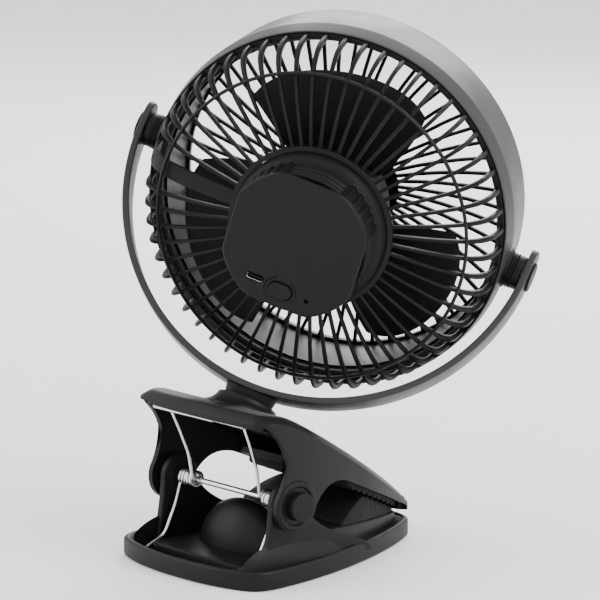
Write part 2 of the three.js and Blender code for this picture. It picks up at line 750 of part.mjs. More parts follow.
// The washer is square to the swivel axis, so it sits as deep as the slope of the skin asks.
const swivel_past_bend = swivel_y - crown_bend_y;
const swivel_slope = (crown_slope * (1 + swivel_past_bend / Math.hypot(swivel_past_bend, crown_roll))) / 2;
const washer_tilt = Math.abs(radians(swivel_lean) - Math.atan(swivel_slope));
const washer_depth = swivel_washer_radius * Math.tan(washer_tilt) + washer_clearance;
const screw_shoulder = -upper_skin - 2 * gap - washer_thickness - washer_depth;
const swivel_washer = ring(tube_section(
  swivel_screw_radius + gap, swivel_washer_radius,
  screw_shoulder + gap, screw_shoulder + gap + washer_thickness,
), 16);
swivel_washer.rotateX(Math.PI / 2);
add('swivel_washer', swivel_washer, steel(), swivel);
const swivel_screw = turned([
  [0, screw_shoulder - swivel_head_height], [swivel_head_radius, screw_shoulder - swivel_head_height],
  [swivel_head_radius, screw_shoulder], [swivel_screw_radius, screw_shoulder],
  [swivel_screw_radius, screw_top], [0, screw_top],
], 20);
swivel_screw.rotateX(Math.PI / 2);
add('swivel_screw', swivel_screw, steel(), swivel);

function saddle() {
  const outline = new THREE.Shape();
  const half = saddle_length / 2;
  outline.absarc(half - yoke_width / 2 + 1, 0, yoke_width / 2 - 1, -Math.PI / 2, Math.PI / 2, false);
  outline.absarc(-half + yoke_width / 2 - 1, 0, yoke_width / 2 - 1, Math.PI / 2, 1.5 * Math.PI, false);
  const block = solid(plan_slab(outline, saddle_low, saddle_high + 3, 8));
  const hollow = new THREE.CylinderGeometry(yoke_radius + gap, yoke_radius + gap, yoke_width * 2, 96);
  hollow.translate(0, 0, yoke_centre);
  const bore = new THREE.CylinderGeometry(swivel_screw_radius + gap, swivel_screw_radius + gap, 60, 20);
  bore.rotateX(Math.PI / 2);
  return surface(block.subtract(solid(hollow)).subtract(solid(bore)));
}
add('swivel_saddle', saddle(), dark_plastic(), swivel);

// A half circle of flat bar whose ends run straight on past the tilt pivots and are rounded off.
function yoke() {
  const band = new THREE.Shape();
  const inner = yoke_radius - yoke_thickness;
  band.moveTo(-yoke_radius, yoke_end_reach);
  band.absarc(0, 0, yoke_radius, Math.PI, 2 * Math.PI, false);
  band.lineTo(yoke_radius, yoke_end_reach);
  band.lineTo(inner, yoke_end_reach);
  band.absarc(0, 0, inner, 2 * Math.PI, Math.PI, true);
  band.lineTo(-inner, yoke_end_reach);
  const bodies = [solid(face_slab(band, -yoke_width / 2, yoke_width / 2, 32))];
  const cuts = [solid(pin(tilt_screw_radius + gap, -yoke_radius - bite, yoke_radius + bite, 0, 0, 20))];
  for (const side of [-1, 1]) {
    const span = (near, far) => (side > 0 ? [near, far] : [-far, -near]);
    bodies.push(solid(pin(yoke_width / 2, ...span(inner, yoke_radius), 0, yoke_end_reach, 28)));
    const recess = span(yoke_radius - tilt_cap_recess, yoke_radius + bite);
    cuts.push(solid(pin(tilt_cap_radius + gap, ...recess, 0, 0, 28)));
  }
  const bore = new THREE.CylinderGeometry(swivel_screw_radius + gap, swivel_screw_radius + gap, 20, 20);
  bore.rotateX(Math.PI / 2);
  bore.translate(0, 0, -yoke_radius);
  cuts.push(solid(bore));
  return surface(join(bodies).subtract(join(cuts)));
}
const yoke_group = new THREE.Group();
yoke_group.position.z = yoke_centre;
swivel.add(yoke_group);
add('yoke', yoke(), grey_plastic(), yoke_group);

// ---------------------------------------------------------------------------------------------
// Tilt pivots

const boss_face = ring_radius + tilt_boss_reach;
const yoke_inner = yoke_radius - yoke_thickness;
const spacer_radius = tilt_boss_radius - 0.4;
const spacer_end = Math.sqrt(yoke_inner ** 2 - spacer_radius ** 2) - 2 * gap;
const screw_inner_end = ring_bore + 2.4;
const head = new THREE.Group();
head.rotation.x = radians(head_tilt);
yoke_group.add(head);

for (const [side, word] of [[-1, 'left'], [1, 'right']]) {
  const span = (near, far) => (side > 0 ? [near, far] : [-far, -near]);
  const spacer = solid(pin(spacer_radius, ...span(boss_face + gap, spacer_end), 0, 0, 24))
    .subtract(solid(pin(tilt_screw_radius + gap, ...span(boss_face - bite, yoke_inner + bite), 0, 0, 20)));
  add(`tilt_spacer_${word}`, surface(spacer), dark_plastic(), head);

  const seat = yoke_radius - tilt_cap_recess + gap;
  const head_top = seat + tilt_head_height;
  const screw = solid(pin(tilt_screw_radius, ...span(screw_inner_end, head_top - 0.2), 0, 0, 20))
    .add(solid(pin(tilt_head_radius, ...span(seat, head_top), 0, 0, 24)));
  add(`tilt_screw_${word}`, surface(screw), steel(), head);

  const room = solid(pin(tilt_head_radius + gap, ...span(seat - bite, head_top + gap), 0, 0, 24));
  const cap = solid(pin(tilt_cap_radius, ...span(seat, yoke_radius + tilt_cap_proud), 0, 0, 28));
  add(`tilt_cap_${word}`, surface(cap.subtract(room)), dark_plastic(), yoke_group);
}

// ---------------------------------------------------------------------------------------------
// Head ring: a deep band with a raised crease, a rebate for the rear guard and two tilt bosses

function head_ring() {
  const rebate_radius = ring_rear_radius - 0.9;
  const band = solid(ring([
    [ring_bore, -ring_rear + ring_rebate], [rebate_radius, -ring_rear + ring_rebate],
    [rebate_radius, -ring_rear], [ring_rear_radius, -ring_rear],
    [ring_radius, -ring_crease], [ring_front_radius, ring_front - 2],
    [ring_front_radius - 2, ring_front], [ring_bore, ring_front],
  ], 60));
  const bodies = [band];
  for (const side of [-1, 1]) {
    const from = side > 0 ? ring_bore + 2 : -boss_face;
    const to = side > 0 ? boss_face : -ring_bore - 2;
    bodies.push(solid(pin(tilt_boss_radius, from, to, 0, 0, 24)));
  }
  let body = join(bodies);
  for (const side of [-1, 1]) {
    const near = screw_inner_end - gap;
    const far = boss_face + bite;
    const from = side > 0 ? near : -far;
    const to = side > 0 ? far : -near;
    body = body.subtract(solid(pin(tilt_screw_radius + gap, from, to, 0, 0, 20)));
  }
  return surface(body);
}
add('head_ring', head_ring(), grey_plastic(), head);

// ---------------------------------------------------------------------------------------------
// Rear guard: radial ribs, flat over the back and rolled over a shoulder down to the ring

const guard_ring_outer = ring_rear_radius - 0.9 - gap;
const guard_ring_low = -ring_rear + ring_rebate - gap;
const collar_inner = drum_root_radius + gap;

// The middle line of a rib as [radius, y] at a share of its length from the drum to the ring.
const rib_start = collar_inner + 1.2;
const rib_line = new THREE.CatmullRomCurve3([
  new THREE.Vector3(rib_start, -guard_back, 0),
  new THREE.Vector3(hoop_radius, -guard_back + 0.5, 0),
  new THREE.Vector3(guard_shoulder_radius - 3, -guard_back + 5, 0),
  new THREE.Vector3(guard_shoulder_radius, -guard_back + 13, 0),
  new THREE.Vector3(guard_ring_outer - guard_ring_width / 2, guard_ring_low - 2, 0),
], false, 'catmullrom', 0.4);

// A bar of the guard: straight to the hoop, then in three steps round the shoulder to the ring.
function guard_bar(width, depth) {
  const hoop_share = (hoop_radius - rib_start) / rib_line.getLength();
  const steps_past_hoop = [1 / 3, 2 / 3, 1].map((share) => lerp(hoop_share, 0.98, share));
  const stations = [0, hoop_share, ...steps_past_hoop];
  const steps = stations.length - 1;
  const bar = new THREE.BoxGeometry(1, 1, 1, 1, 1, steps);
  const place = bar.attributes.position;
  for (let i = 0; i < place.count; i += 1) {
    const share = stations[Math.round((place.getZ(i) + 0.5) * steps)];
    const spot = rib_line.getPointAt(share);
    const along = rib_line.getTangentAt(share);
    const lift = place.getY(i) * depth;
    place.setXYZ(i, place.getX(i) * width, spot.y + lift * along.x, spot.x - lift * along.y);
  }
  return solid(bar);
}

function rear_guard() {
  const outer = ring(tube_section(
    guard_ring_outer - guard_ring_width, guard_ring_outer, -ring_rear, guard_ring_low,
  ), rear_rib_count);
  const inner = ring(tube_section(
    collar_inner, collar_inner + 2.4, -guard_back - 2, -guard_back + 2,
  ), rear_rib_count);
  const hoop = ring(tube_section(
    hoop_radius - 0.8, hoop_radius + 0.8, -guard_back - rib_depth / 2 - 0.2, -guard_back + 1.1,
  ), rear_rib_count);
  const rib = guard_bar(rib_width, rib_depth);
  const pitch = 360 / rear_rib_count;
  const spoke_angle = 270;
  const bars = [guard_bar(spoke_width, spoke_depth).rotate([0, spoke_angle, 0])];
  for (let angle = pitch / 2; angle < 360; angle += pitch) {
    if (Math.abs(angle - spoke_angle) > pitch) {
      bars.push(rib.rotate([0, angle, 0]));
    }
  }
  return surface(join([solid(outer), solid(inner), solid(hoop), ...bars]));
}
add('rear_guard', rear_guard(), black_plastic(), head);

// ---------------------------------------------------------------------------------------------
// Front guard: thin swept ribs between a rim seated in the ring and a centre plate, with its badge

const front_guard_outer = ring_bore - gap;
const front_guard_y = ring_front - 3;

function front_rib() {
  const bar = new THREE.BoxGeometry(1, 1, 1);
  const place = bar.attributes.position;
  const inner = front_centre_radius - 0.5;
  const outer = front_guard_outer - 1.2;
  for (let i = 0; i < place.count; i += 1) {
    const share = place.getZ(i) + 0.5;
    const radius = inner + share * (outer - inner);
    const angle = radians(front_rib_sweep) * share + (place.getX(i) * front_rib_width) / radius;
    place.setXYZ(
      i, radius * Math.sin(angle), front_guard_y + place.getY(i) * front_rib_depth, radius * Math.cos(angle),
    );
  }
  return solid(bar);
}

function front_guard() {
  const half = front_rib_depth / 2 + 0.4;
  const rim = ring(tube_section(
    front_guard_outer - 2.4, front_guard_outer, front_guard_y - half, front_guard_y + half,
  ), 40);
  const centre = turned([
    [0, front_guard_y - half], [front_centre_radius, front_guard_y - half],
    [front_centre_radius, front_guard_y + half - 1], [0, front_guard_y + half - 1],
  ], 40);
  const rib = front_rib();
  const ribs = [];
  for (let index = 0; index < front_rib_count; index += 1) {
    ribs.push(rib.rotate([0, (index * 360) / front_rib_count, 0]));
  }
  const skirt = ring(tube_section(
    front_guard_outer - shroud_wall, front_guard_outer, -shroud_rear, front_guard_y,
  ), 40);
  return surface(join([solid(rim), solid(skirt), solid(centre), ...ribs]));
}
add('front_guard', front_guard(), black_plastic(), head);

const badge_low = front_guard_y + front_rib_depth / 2 - 0.6 + gap;
add('front_badge', turned([
  [0, badge_low], [front_centre_radius - 1.2, badge_low], [front_centre_radius - 1.2, badge_low + 1.2],
  [front_centre_radius - 2.7, badge_low + badge_thickness], [0, badge_low + badge_thickness],
], 40), grey_plastic(), head);

// ---------------------------------------------------------------------------------------------
// Rear housing: the drum in the middle of the rear guard, open at the back for its cover

const drum_inner = drum_rear_radius - drum_wall;
const tube_bore = tube_radius - 2;
function rear_housing() {
  const front_radius = drum_rear_radius - 3;
  const rear = drum_rear - gap;
  return turned([
    [tube_radius + gap, -drum_front], [front_radius - 4, -drum_front], [front_radius, -drum_front - 4],
    [front_radius, -guard_back + 2.3], [drum_root_radius, -guard_back + 1],
    [drum_root_radius, -guard_back - 5], [drum_rear_radius, -guard_back - 8],
    [drum_rear_radius, -rear], [drum_inner, -rear],
    [drum_inner, -guard_back], [front_radius - drum_wall, -guard_back + 4],
    [front_radius - drum_wall, -drum_front - 5], [front_radius - 6, -drum_front - drum_wall - 1],
    [tube_radius + gap, -drum_front - drum_wall - 1], [tube_radius + gap, -drum_front],
  ].reverse(), 44);
}
add('rear_housing', rear_housing(), dark_plastic(), head);

function rounded_slot(half_length, half_height) {
  const outline = new THREE.Shape();
  const straight = half_length - half_height;
  outline.absarc(straight, 0, half_height, -Math.PI / 2, Math.PI / 2, false);
  outline.absarc(-straight, 0, half_height, Math.PI / 2, 1.5 * Math.PI, false);
  return outline;
}

const disc_outline = (radius) => new THREE.Shape().absarc(0, 0, radius, 0, 2 * Math.PI);

const usb_x = -control_pitch;
const led_x = control_pitch;
const cover_rear = drum_rear + cover_thickness;

function at_control(geometry, x, lift = 0) {
  geometry.translate(x, 0, lift - control_drop);
  return geometry;
}

function back_cover() {
  const outline = new THREE.Shape();
  const half_flat = Math.acos(cover_flat / cover_radius);
  for (let quarter = 0; quarter < 4; quarter += 1) {
    const start = (quarter * Math.PI) / 2 + half_flat;
    outline.absarc(0, 0, cover_radius, start, start + Math.PI / 2 - 2 * half_flat, false);
  }
  let body = solid(face_slab(outline, -cover_rear, -drum_rear, 9));
  const past = [-cover_rear - bite, -drum_rear + bite];
  const cuts = [
    at_control(face_slab(rounded_slot(usb_half_length, usb_half_height), ...past, 6), usb_x, usb_lift),
    at_control(face_slab(rounded_slot(button_half_length + gap, button_half_height + gap), ...past, 8), 0),
    at_control(face_slab(disc_outline(led_radius + gap / 2), ...past, 6), led_x),
  ];
  for (const cut of cuts) {
    body = body.subtract(solid(cut));
  }
  return surface(body);
}
add('back_cover', back_cover(), black_plastic(), head);

// The socket's shell stands behind the slot in the cover.
const socket_face = -drum_rear + gap;
const board_rear = socket_face + socket_length + gap;
const board_front = board_rear + board_thickness;
const socket_outline = rounded_slot(usb_half_length, usb_half_height);
const socket = solid(at_control(
  face_slab(socket_outline, socket_face, board_rear - gap, 6), usb_x, usb_lift,
)).subtract(solid(at_control(
  face_slab(
    rounded_slot(usb_half_length - socket_wall, usb_half_height - socket_wall),
    socket_face - bite, socket_face + socket_length - socket_wall, 6,
  ), usb_x, usb_lift,
)));
add('usb_socket', surface(socket), steel(), head);
const lens = face_slab(disc_outline(led_radius - gap / 2), -cover_rear + gap, board_rear - gap, 4);
add('led_lens', at_control(lens, led_x), clear_plastic(), head);

const button = face_slab(
  rounded_slot(button_half_length, button_half_height), -cover_rear - button_proud, -drum_rear + gap, 8,
);
add('power_button', at_control(button, 0), black_plastic(), head);

// The board is a flat piece that fills the lower half of the drum.
const board_margin = 1.5;
const board_corner = 0.15;
const board_outline = new THREE.Shape().absarc(
  0, 0, drum_inner - board_margin, Math.PI + board_corner, 2 * Math.PI - board_corner, false,
);
add('circuit_board', face_slab(board_outline, board_rear, board_front, 12), green_board(), head);

// Two cells lie side by side across the drum, in front of the board.
const cell_y = board_front + gap + cell_radius;
for (const [index, side] of [[1, -1], [2, 1]]) {
  const z = side * (cell_radius + gap / 2);
  const cell = pin(cell_radius, -cell_length / 2, cell_length / 2, cell_y, z, 28);
  add(`battery_cell_${index}`, cell, cell_wrap(), head);
}

// ---------------------------------------------------------------------------------------------
// Motor: an outside rotor on a fixed bearing tube, and the impeller pressed on its shaft

const tube_rear = -drum_front - drum_wall - 1;
const stator_rear = -drum_front + 2;
const stator_front = stator_rear + stator_length;
const bearing_tube = solid(ring(tube_section(tube_bore, tube_radius, tube_rear, stator_front + 1), 24));
const windings = solid(ring(tube_section(tube_bore, stator_radius, stator_rear, stator_front), 28));
add('motor_stator', surface(bearing_tube.add(windings)), copper(), head);

const can_front = stator_front + 1 + gap + can_wall + 1;
add('motor_can', turned([
  [shaft_radius + gap, can_front - can_wall], [can_radius - can_wall, can_front - can_wall],
  [can_radius - can_wall, can_front - can_length], [can_radius, can_front - can_length],
  [can_radius, can_front], [shaft_radius + gap, can_front], [shaft_radius + gap, can_front - can_wall],
], 28), plated_steel(), head);

const shaft_front = hub_front - hub_wall - gap;
add('motor_shaft', turned([
  [0, tube_rear + 1], [shaft_radius, tube_rear + 1], [shaft_radius, shaft_front], [0, shaft_front],
], 16), steel(), head);

// A blade is a thin plate bent round the axis: share_c runs across it, share_r from root to tip.
// It leans back towards the tip, and its outer corners are rounded off.
function blade() {
  const plate = new THREE.BoxGeometry(1, 1, 1, 6, 1, 4);
  const place = plate.attributes.position;
  const root = hub_radius - hub_wall / 2;
  for (let i = 0; i < place.count; i += 1) {
    const share_c = place.getX(i) * 2;
    const share_r = place.getZ(i) + 0.5;
    const rounding = 1 - 0.12 * share_r * share_c ** 4;
    const radius = root + share_r * (blade_tip_radius - root) * rounding;
    const lead = radians(blade_root_lead * (1 - share_r));
    const angle = radians(share_c * lerp(blade_root_span, blade_tip_span, share_r)) / 2 + lead;
    const rise = (share_c * lerp(blade_root_depth, blade_tip_depth, share_r)) / 2;
    const middle = lerp(blade_root_y, blade_tip_y, share_r) - blade_camber * (1 - share_c ** 2);
    const y = middle + rise + place.getY(i) * blade_thickness;
    place.setXYZ(i, radius * Math.sin(angle), y, radius * Math.cos(angle));
  }
  return solid(plate);
}

function impeller() {
  const cup = solid(turned([
    [0, hub_front - hub_wall], [hub_radius - hub_wall, hub_front - hub_wall],
    [hub_radius - hub_wall, hub_rear], [hub_radius, hub_rear], [hub_radius, hub_front - 3],
    [hub_radius - 3, hub_front], [0, hub_front],
  ], 36));
  const boss = solid(turned([
    [0, can_front + gap], [5, can_front + gap], [5, hub_front - 1], [0, hub_front - 1],
  ], 24));
  const bore = solid(turned([
    [0, hub_rear], [shaft_radius + gap, hub_rear],
    [shaft_radius + gap, shaft_front + gap], [0, shaft_front + gap],
  ], 16));
  const bodies = [cup, boss];
  for (let index = 0; index < blade_count; index += 1) {
    bodies.push(blade().rotate([0, 90 - blade_start + (index * 360) / blade_count, 0]));
  }
  return surface(join(bodies).subtract(bore));
}
add('impeller', impeller(), dark_plastic(), head);

export default fan;
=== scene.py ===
"""Clip-on desk fan: the finished look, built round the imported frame.

Shapes are worked out in millimetres as grids of points and put into the meshes in metres.
The object stands on z = 0, X runs along the clamp hinge and +Y points to the jaw tips.
"""

import json
import math

import bmesh
import bpy
import numpy as np
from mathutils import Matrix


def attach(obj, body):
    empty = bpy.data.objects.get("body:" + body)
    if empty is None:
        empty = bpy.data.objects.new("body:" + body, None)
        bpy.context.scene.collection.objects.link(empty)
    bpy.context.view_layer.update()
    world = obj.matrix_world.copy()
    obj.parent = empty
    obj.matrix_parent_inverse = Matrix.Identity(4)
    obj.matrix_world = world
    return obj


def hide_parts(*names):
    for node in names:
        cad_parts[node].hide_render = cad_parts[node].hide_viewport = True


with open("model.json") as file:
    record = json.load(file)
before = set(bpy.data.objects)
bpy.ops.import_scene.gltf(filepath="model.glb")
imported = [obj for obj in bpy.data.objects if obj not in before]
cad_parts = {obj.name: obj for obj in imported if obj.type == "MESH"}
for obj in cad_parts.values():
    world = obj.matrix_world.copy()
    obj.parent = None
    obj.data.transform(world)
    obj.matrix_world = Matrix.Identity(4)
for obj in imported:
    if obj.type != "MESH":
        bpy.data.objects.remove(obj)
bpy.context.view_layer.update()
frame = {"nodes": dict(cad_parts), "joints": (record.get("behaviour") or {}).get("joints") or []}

# ---------------------------------------------------------------------------------------------
# Studio: a pale floor that rolls up behind the object, a white surround and three soft boxes.
# The camera stands behind the fan, to its right and slightly above it, with a long lens.

camera_azimuth = math.radians(48.0)
camera_elevation = math.radians(11.094)
camera_place = (1.49743, -1.33624, 0.52594)
lens_mm = 240
sensor_mm = 36

camera_data = bpy.data.cameras.new("camera")
camera_data.lens = lens_mm
camera_data.sensor_width = sensor_mm
camera_data.clip_end = 50
camera = bpy.data.objects.new("camera", camera_data)
camera.location = camera_place
camera.rotation_euler = (math.pi / 2 - camera_elevation, 0, camera_azimuth)
bpy.context.scene.collection.objects.link(camera)
bpy.context.scene.camera = camera


def shader(name):
    """A new node material: returns the material, its node tree and its Principled shader."""
    material = bpy.data.materials.new(name)
    material.use_nodes = True
    return material, material.node_tree, material.node_tree.nodes["Principled BSDF"]


def backdrop():
    """The floor as a profile carried sideways: flat for 4 m, then a quarter circle, then a wall."""
    turn = np.linspace(0, math.pi / 2, 25)
    reach, roll, wall, half = 4.0, 2.0, 4.0, 9.0
    flat = [[-reach], np.linspace(-2, reach, 7)]
    along = np.concatenate(flat + [reach + roll * np.sin(turn)[1:], [reach + roll]])
    up = np.concatenate([np.zeros(8), roll * (1 - np.cos(turn))[1:], [roll + wall]]) - 0.0002
    grid = np.zeros((len(along), 2, 3))
    grid[:, :, 0] = (-half, half)
    grid[:, :, 1] = along[:, None]
    grid[:, :, 2] = up[:, None]
    rows = np.arange(len(along) - 1)[:, None] * 2
    faces = rows + np.array([0, 1, 3, 2])
    mesh = bpy.data.meshes.new("backdrop")
    spin = np.array([[math.cos(camera_azimuth), math.sin(camera_azimuth), 0],
                     [-math.sin(camera_azimuth), math.cos(camera_azimuth), 0], [0, 0, 1]])
    mesh.from_pydata((grid.reshape(-1, 3) @ spin).tolist(), [], faces.tolist())
    mesh.shade_smooth()
    floor = bpy.data.objects.new("backdrop", mesh)
    bpy.context.scene.collection.objects.link(floor)
    paint, tree, coat = shader("pale_paper")
    speck = tree.nodes.new("ShaderNodeTexNoise")
    speck.inputs["Scale"].default_value = 30
    tint = tree.nodes.new("ShaderNodeMix")
    tint.data_type = "RGBA"
    tint.inputs["A"].default_value = (0.86, 0.86, 0.86, 1)
    tint.inputs["B"].default_value = (0.9, 0.9, 0.9, 1)
    place = tree.nodes.new("ShaderNodeTexCoord")
    tree.links.new(place.outputs["Object"], speck.inputs["Vector"])
    tree.links.new(speck.outputs["Fac"], tint.inputs["Factor"])
    tree.links.new(tint.outputs["Result"], coat.inputs["Base Color"])
    coat.inputs["Roughness"].default_value = 0.85
    mesh.materials.append(paint)


backdrop()


def soft_box(name, place, aim, size, power):
    """A square area light at `place`, turned to face `aim`."""
    data = bpy.data.lights.new(name, "AREA")
    data.shape = "RECTANGLE"
    data.size, data.size_y = size
    data.energy = power
    lamp = bpy.data.objects.new(name, data)
    lamp.location = place
    reach = np.array(aim) - np.array(place)
    lamp.rotation_euler = (
        math.acos(-reach[2] / np.linalg.norm(reach)), 0, math.atan2(reach[1], reach[0]) - math.pi / 2,
    )
    bpy.context.scene.collection.objects.link(lamp)


aim = (0, 0.02, 0.15)
soft_box("key_light", (1.6, 0.5, 1.3), aim, (1.0, 1.0), 30)
soft_box("back_light", (-0.9, 1.3, 1.0), aim, (1.2, 0.8), 24)
soft_box("side_light", (-1.2, -1.2, 0.9), aim, (0.8, 1.4), 10)

world = bpy.data.worlds.new("white_surround")
world.use_nodes = True
world.node_tree.nodes["Background"].inputs["Color"].default_value = (1, 1, 1, 1)
world.node_tree.nodes["Background"].inputs["Strength"].default_value = 1.7
bpy.context.scene.world = world

# ---------------------------------------------------------------------------------------------
# Moulded plastics: the shells are satin black with a fine spark-eroded grain, the running parts
# a duller black, the ring and the yoke charcoal grey. Corners are rubbed a little lighter.


def socket(tree, name, way, kind, default=None):
    """Adds a named socket to a node group."""
    made = tree.interface.new_socket(name=name, in_out=way, socket_type=kind)
    if default is not None:
        made.default_value = default


def node(tree, kind, **values):
    """A node with its properties and unlinked inputs set; links are given as output sockets."""
    made = tree.nodes.new(kind)
    for key, value in values.items():
        if key.startswith("set_"):
            setattr(made, key[4:], value)
            continue
        slot = made.inputs[int(key[1:])] if key[0] == "i" and key[1:].isdigit() else made.inputs[key]
        if isinstance(value, bpy.types.NodeSocket):
            tree.links.new(value, slot)
        else:
            slot.default_value = value
    return made


def grain_group():
    """Moulded grain: fine noise for the bump, broad noise for uneven gloss and colour."""
    tree = bpy.data.node_groups.new("moulded_grain", "ShaderNodeTree")
    socket(tree, "Grain Scale", "INPUT", "NodeSocketFloat", 1800.0)
    socket(tree, "Mottle Scale", "INPUT", "NodeSocketFloat", 45.0)
    socket(tree, "Height", "OUTPUT", "NodeSocketFloat")
    socket(tree, "Mottle", "OUTPUT", "NodeSocketFloat")
    given = tree.nodes.new("NodeGroupInput").outputs
    place = tree.nodes.new("ShaderNodeTexCoord").outputs["Object"]
    fine = node(tree, "ShaderNodeTexNoise", Vector=place, Scale=given["Grain Scale"], Detail=3.0)
    cells = node(tree, "ShaderNodeTexVoronoi", Vector=place, Scale=given["Grain Scale"])
    mixed = node(tree, "ShaderNodeMath", set_operation="MULTIPLY_ADD",
                 i0=cells.outputs["Distance"], i1=0.5, i2=fine.outputs["Fac"])
    broad = node(tree, "ShaderNodeTexNoise", Vector=place, Scale=given["Mottle Scale"],
                 Detail=5.0, Roughness=0.6)
    out = tree.nodes.new("NodeGroupOutput")
    tree.links.new(mixed.outputs[0], out.inputs["Height"])
    tree.links.new(broad.outputs["Fac"], out.inputs["Mottle"])
    return tree


def wear_group():
    """Edge wear: 1 on rubbed outer corners and 0 on flats, broken up by noise."""
    tree = bpy.data.node_groups.new("edge_wear", "ShaderNodeTree")
    socket(tree, "Reach", "INPUT", "NodeSocketFloat", 0.56)
    socket(tree, "Wear", "OUTPUT", "NodeSocketFloat")
    given = tree.nodes.new("NodeGroupInput").outputs
    place = tree.nodes.new("ShaderNodeTexCoord").outputs["Object"]
    edge = tree.nodes.new("ShaderNodeNewGeometry").outputs["Pointiness"]
    over = node(tree, "ShaderNodeMath", set_operation="SUBTRACT", i0=edge, i1=given["Reach"])
    mask = node(tree, "ShaderNodeMath", set_operation="MULTIPLY", set_use_clamp=True,
                i0=over.outputs[0], i1=9.0)
    patches = node(tree, "ShaderNodeTexNoise", Vector=place, Scale=260.0, Detail=4.0)
    broken = node(tree, "ShaderNodeMath", set_operation="MULTIPLY",
                  i0=mask.outputs[0], i1=patches.outputs["Fac"])
    out = tree.nodes.new("NodeGroupOutput")
    tree.links.new(broken.outputs[0], out.inputs["Wear"])
    return tree


def dust_group():
    """Settled dust: more where the surface faces up, in small soft patches."""
    tree = bpy.data.node_groups.new("settled_dust", "ShaderNodeTree")
    socket(tree, "Amount", "INPUT", "NodeSocketFloat", 0.1)
    socket(tree, "Dust", "OUTPUT", "NodeSocketFloat")
    given = tree.nodes.new("NodeGroupInput").outputs
    place = tree.nodes.new("ShaderNodeTexCoord").outputs["Object"]
    normal = tree.nodes.new("ShaderNodeNewGeometry").outputs["Normal"]
    upward = node(tree, "ShaderNodeSeparateXYZ", Vector=normal).outputs["Z"]
    facing = node(tree, "ShaderNodeMath", set_operation="MULTIPLY_ADD", set_use_clamp=True,
                  i0=upward, i1=0.6, i2=0.2)
    specks = node(tree, "ShaderNodeTexNoise", Vector=place, Scale=600.0, Detail=6.0, Roughness=0.7)
    share = node(tree, "ShaderNodeMath", set_operation="MULTIPLY",
                 i0=facing.outputs[0], i1=specks.outputs["Fac"])
    scaled = node(tree, "ShaderNodeMath", set_operation="MULTIPLY", i0=share.outputs[0], i1=given["Amount"])
    out = tree.nodes.new("NodeGroupOutput")
    tree.links.new(scaled.outputs[0], out.inputs["Dust"])
    return tree


moulded_grain = grain_group()
edge_wear = wear_group()
settled_dust = dust_group()


def moulded(name, colour, gloss, grain=1800.0, depth=0.00002, wear=0.05, dust=0.02, shine=0.16):
    """A moulded material: mottled colour and roughness, grain bump, rubbed corners and dust.
    `gloss` is the range of roughness from the smoothest to the dullest patch, `shine` the specular level."""
    material, tree, coat = shader(name)
    skin = node(tree, "ShaderNodeGroup", set_node_tree=moulded_grain, **{"Grain Scale": grain})
    rubbed = node(tree, "ShaderNodeGroup", set_node_tree=edge_wear).outputs["Wear"]
    dusty = node(tree, "ShaderNodeGroup", set_node_tree=settled_dust, Amount=dust).outputs["Dust"]
    mottle = skin.outputs["Mottle"]
    shade = np.array(colour)
    tones = node(tree, "ShaderNodeMix", set_data_type="RGBA", Factor=mottle)
    tones.inputs["A"].default_value = (*(shade * 0.82), 1)
    tones.inputs["B"].default_value = (*(shade * 1.18), 1)
    lifted = node(tree, "ShaderNodeMath", set_operation="MULTIPLY", i0=rubbed, i1=wear * 6)
    worn = node(tree, "ShaderNodeMix", set_data_type="RGBA", Factor=lifted.outputs[0])
    tree.links.new(tones.outputs["Result"], worn.inputs["A"])
    worn.inputs["B"].default_value = (*(shade * 1.6 + 0.012), 1)
    dusted = node(tree, "ShaderNodeMix", set_data_type="RGBA", Factor=dusty)
    tree.links.new(worn.outputs["Result"], dusted.inputs["A"])
    dusted.inputs["B"].default_value = (0.12, 0.118, 0.112, 1)
    tree.links.new(dusted.outputs["Result"], coat.inputs["Base Color"])
    rough = node(tree, "ShaderNodeMapRange", Value=mottle)
    rough.inputs["From Min"].default_value = 0.3
    rough.inputs["From Max"].default_value = 0.7
    rough.inputs["To Min"].default_value = gloss[0]
    rough.inputs["To Max"].default_value = gloss[1]
    tree.links.new(rough.outputs["Result"], coat.inputs["Roughness"])
    bump = node(tree, "ShaderNodeBump", Height=skin.outputs["Height"], Strength=0.6, Distance=depth)
    tree.links.new(bump.outputs["Normal"], coat.inputs["Normal"])
    coat.inputs["Specular IOR Level"].default_value = shine
    return material


black_shell = moulded("black_shell", (0.0052, 0.0052, 0.0055), (0.38, 0.5))
dark_shell = moulded("dark_shell", (0.0036, 0.0036, 0.0038), (0.44, 0.58), depth=0.000015)
grey_shell = moulded("grey_shell", (0.030, 0.030, 0.031), (0.32, 0.44), depth=0.000012, wear=0.03)

# ---------------------------------------------------------------------------------------------
# Foot, which is also the lower jaw: one black moulding with a flat walled tray at the back, a
# domed boss in it, two shoulders that rise to the hinge ears and a sloping deck for the pad.


def bend(points, count):
    """`count` points on the Bezier curve of any degree with these control points."""
    controls = np.asarray(points, float)
    degree = len(controls) - 1
    share = np.linspace(0, 1, count)[:, None]
    return sum(
        math.comb(degree, k) * share**k * (1 - share) ** (degree - k) * controls[k] for k in range(degree + 1)
    )


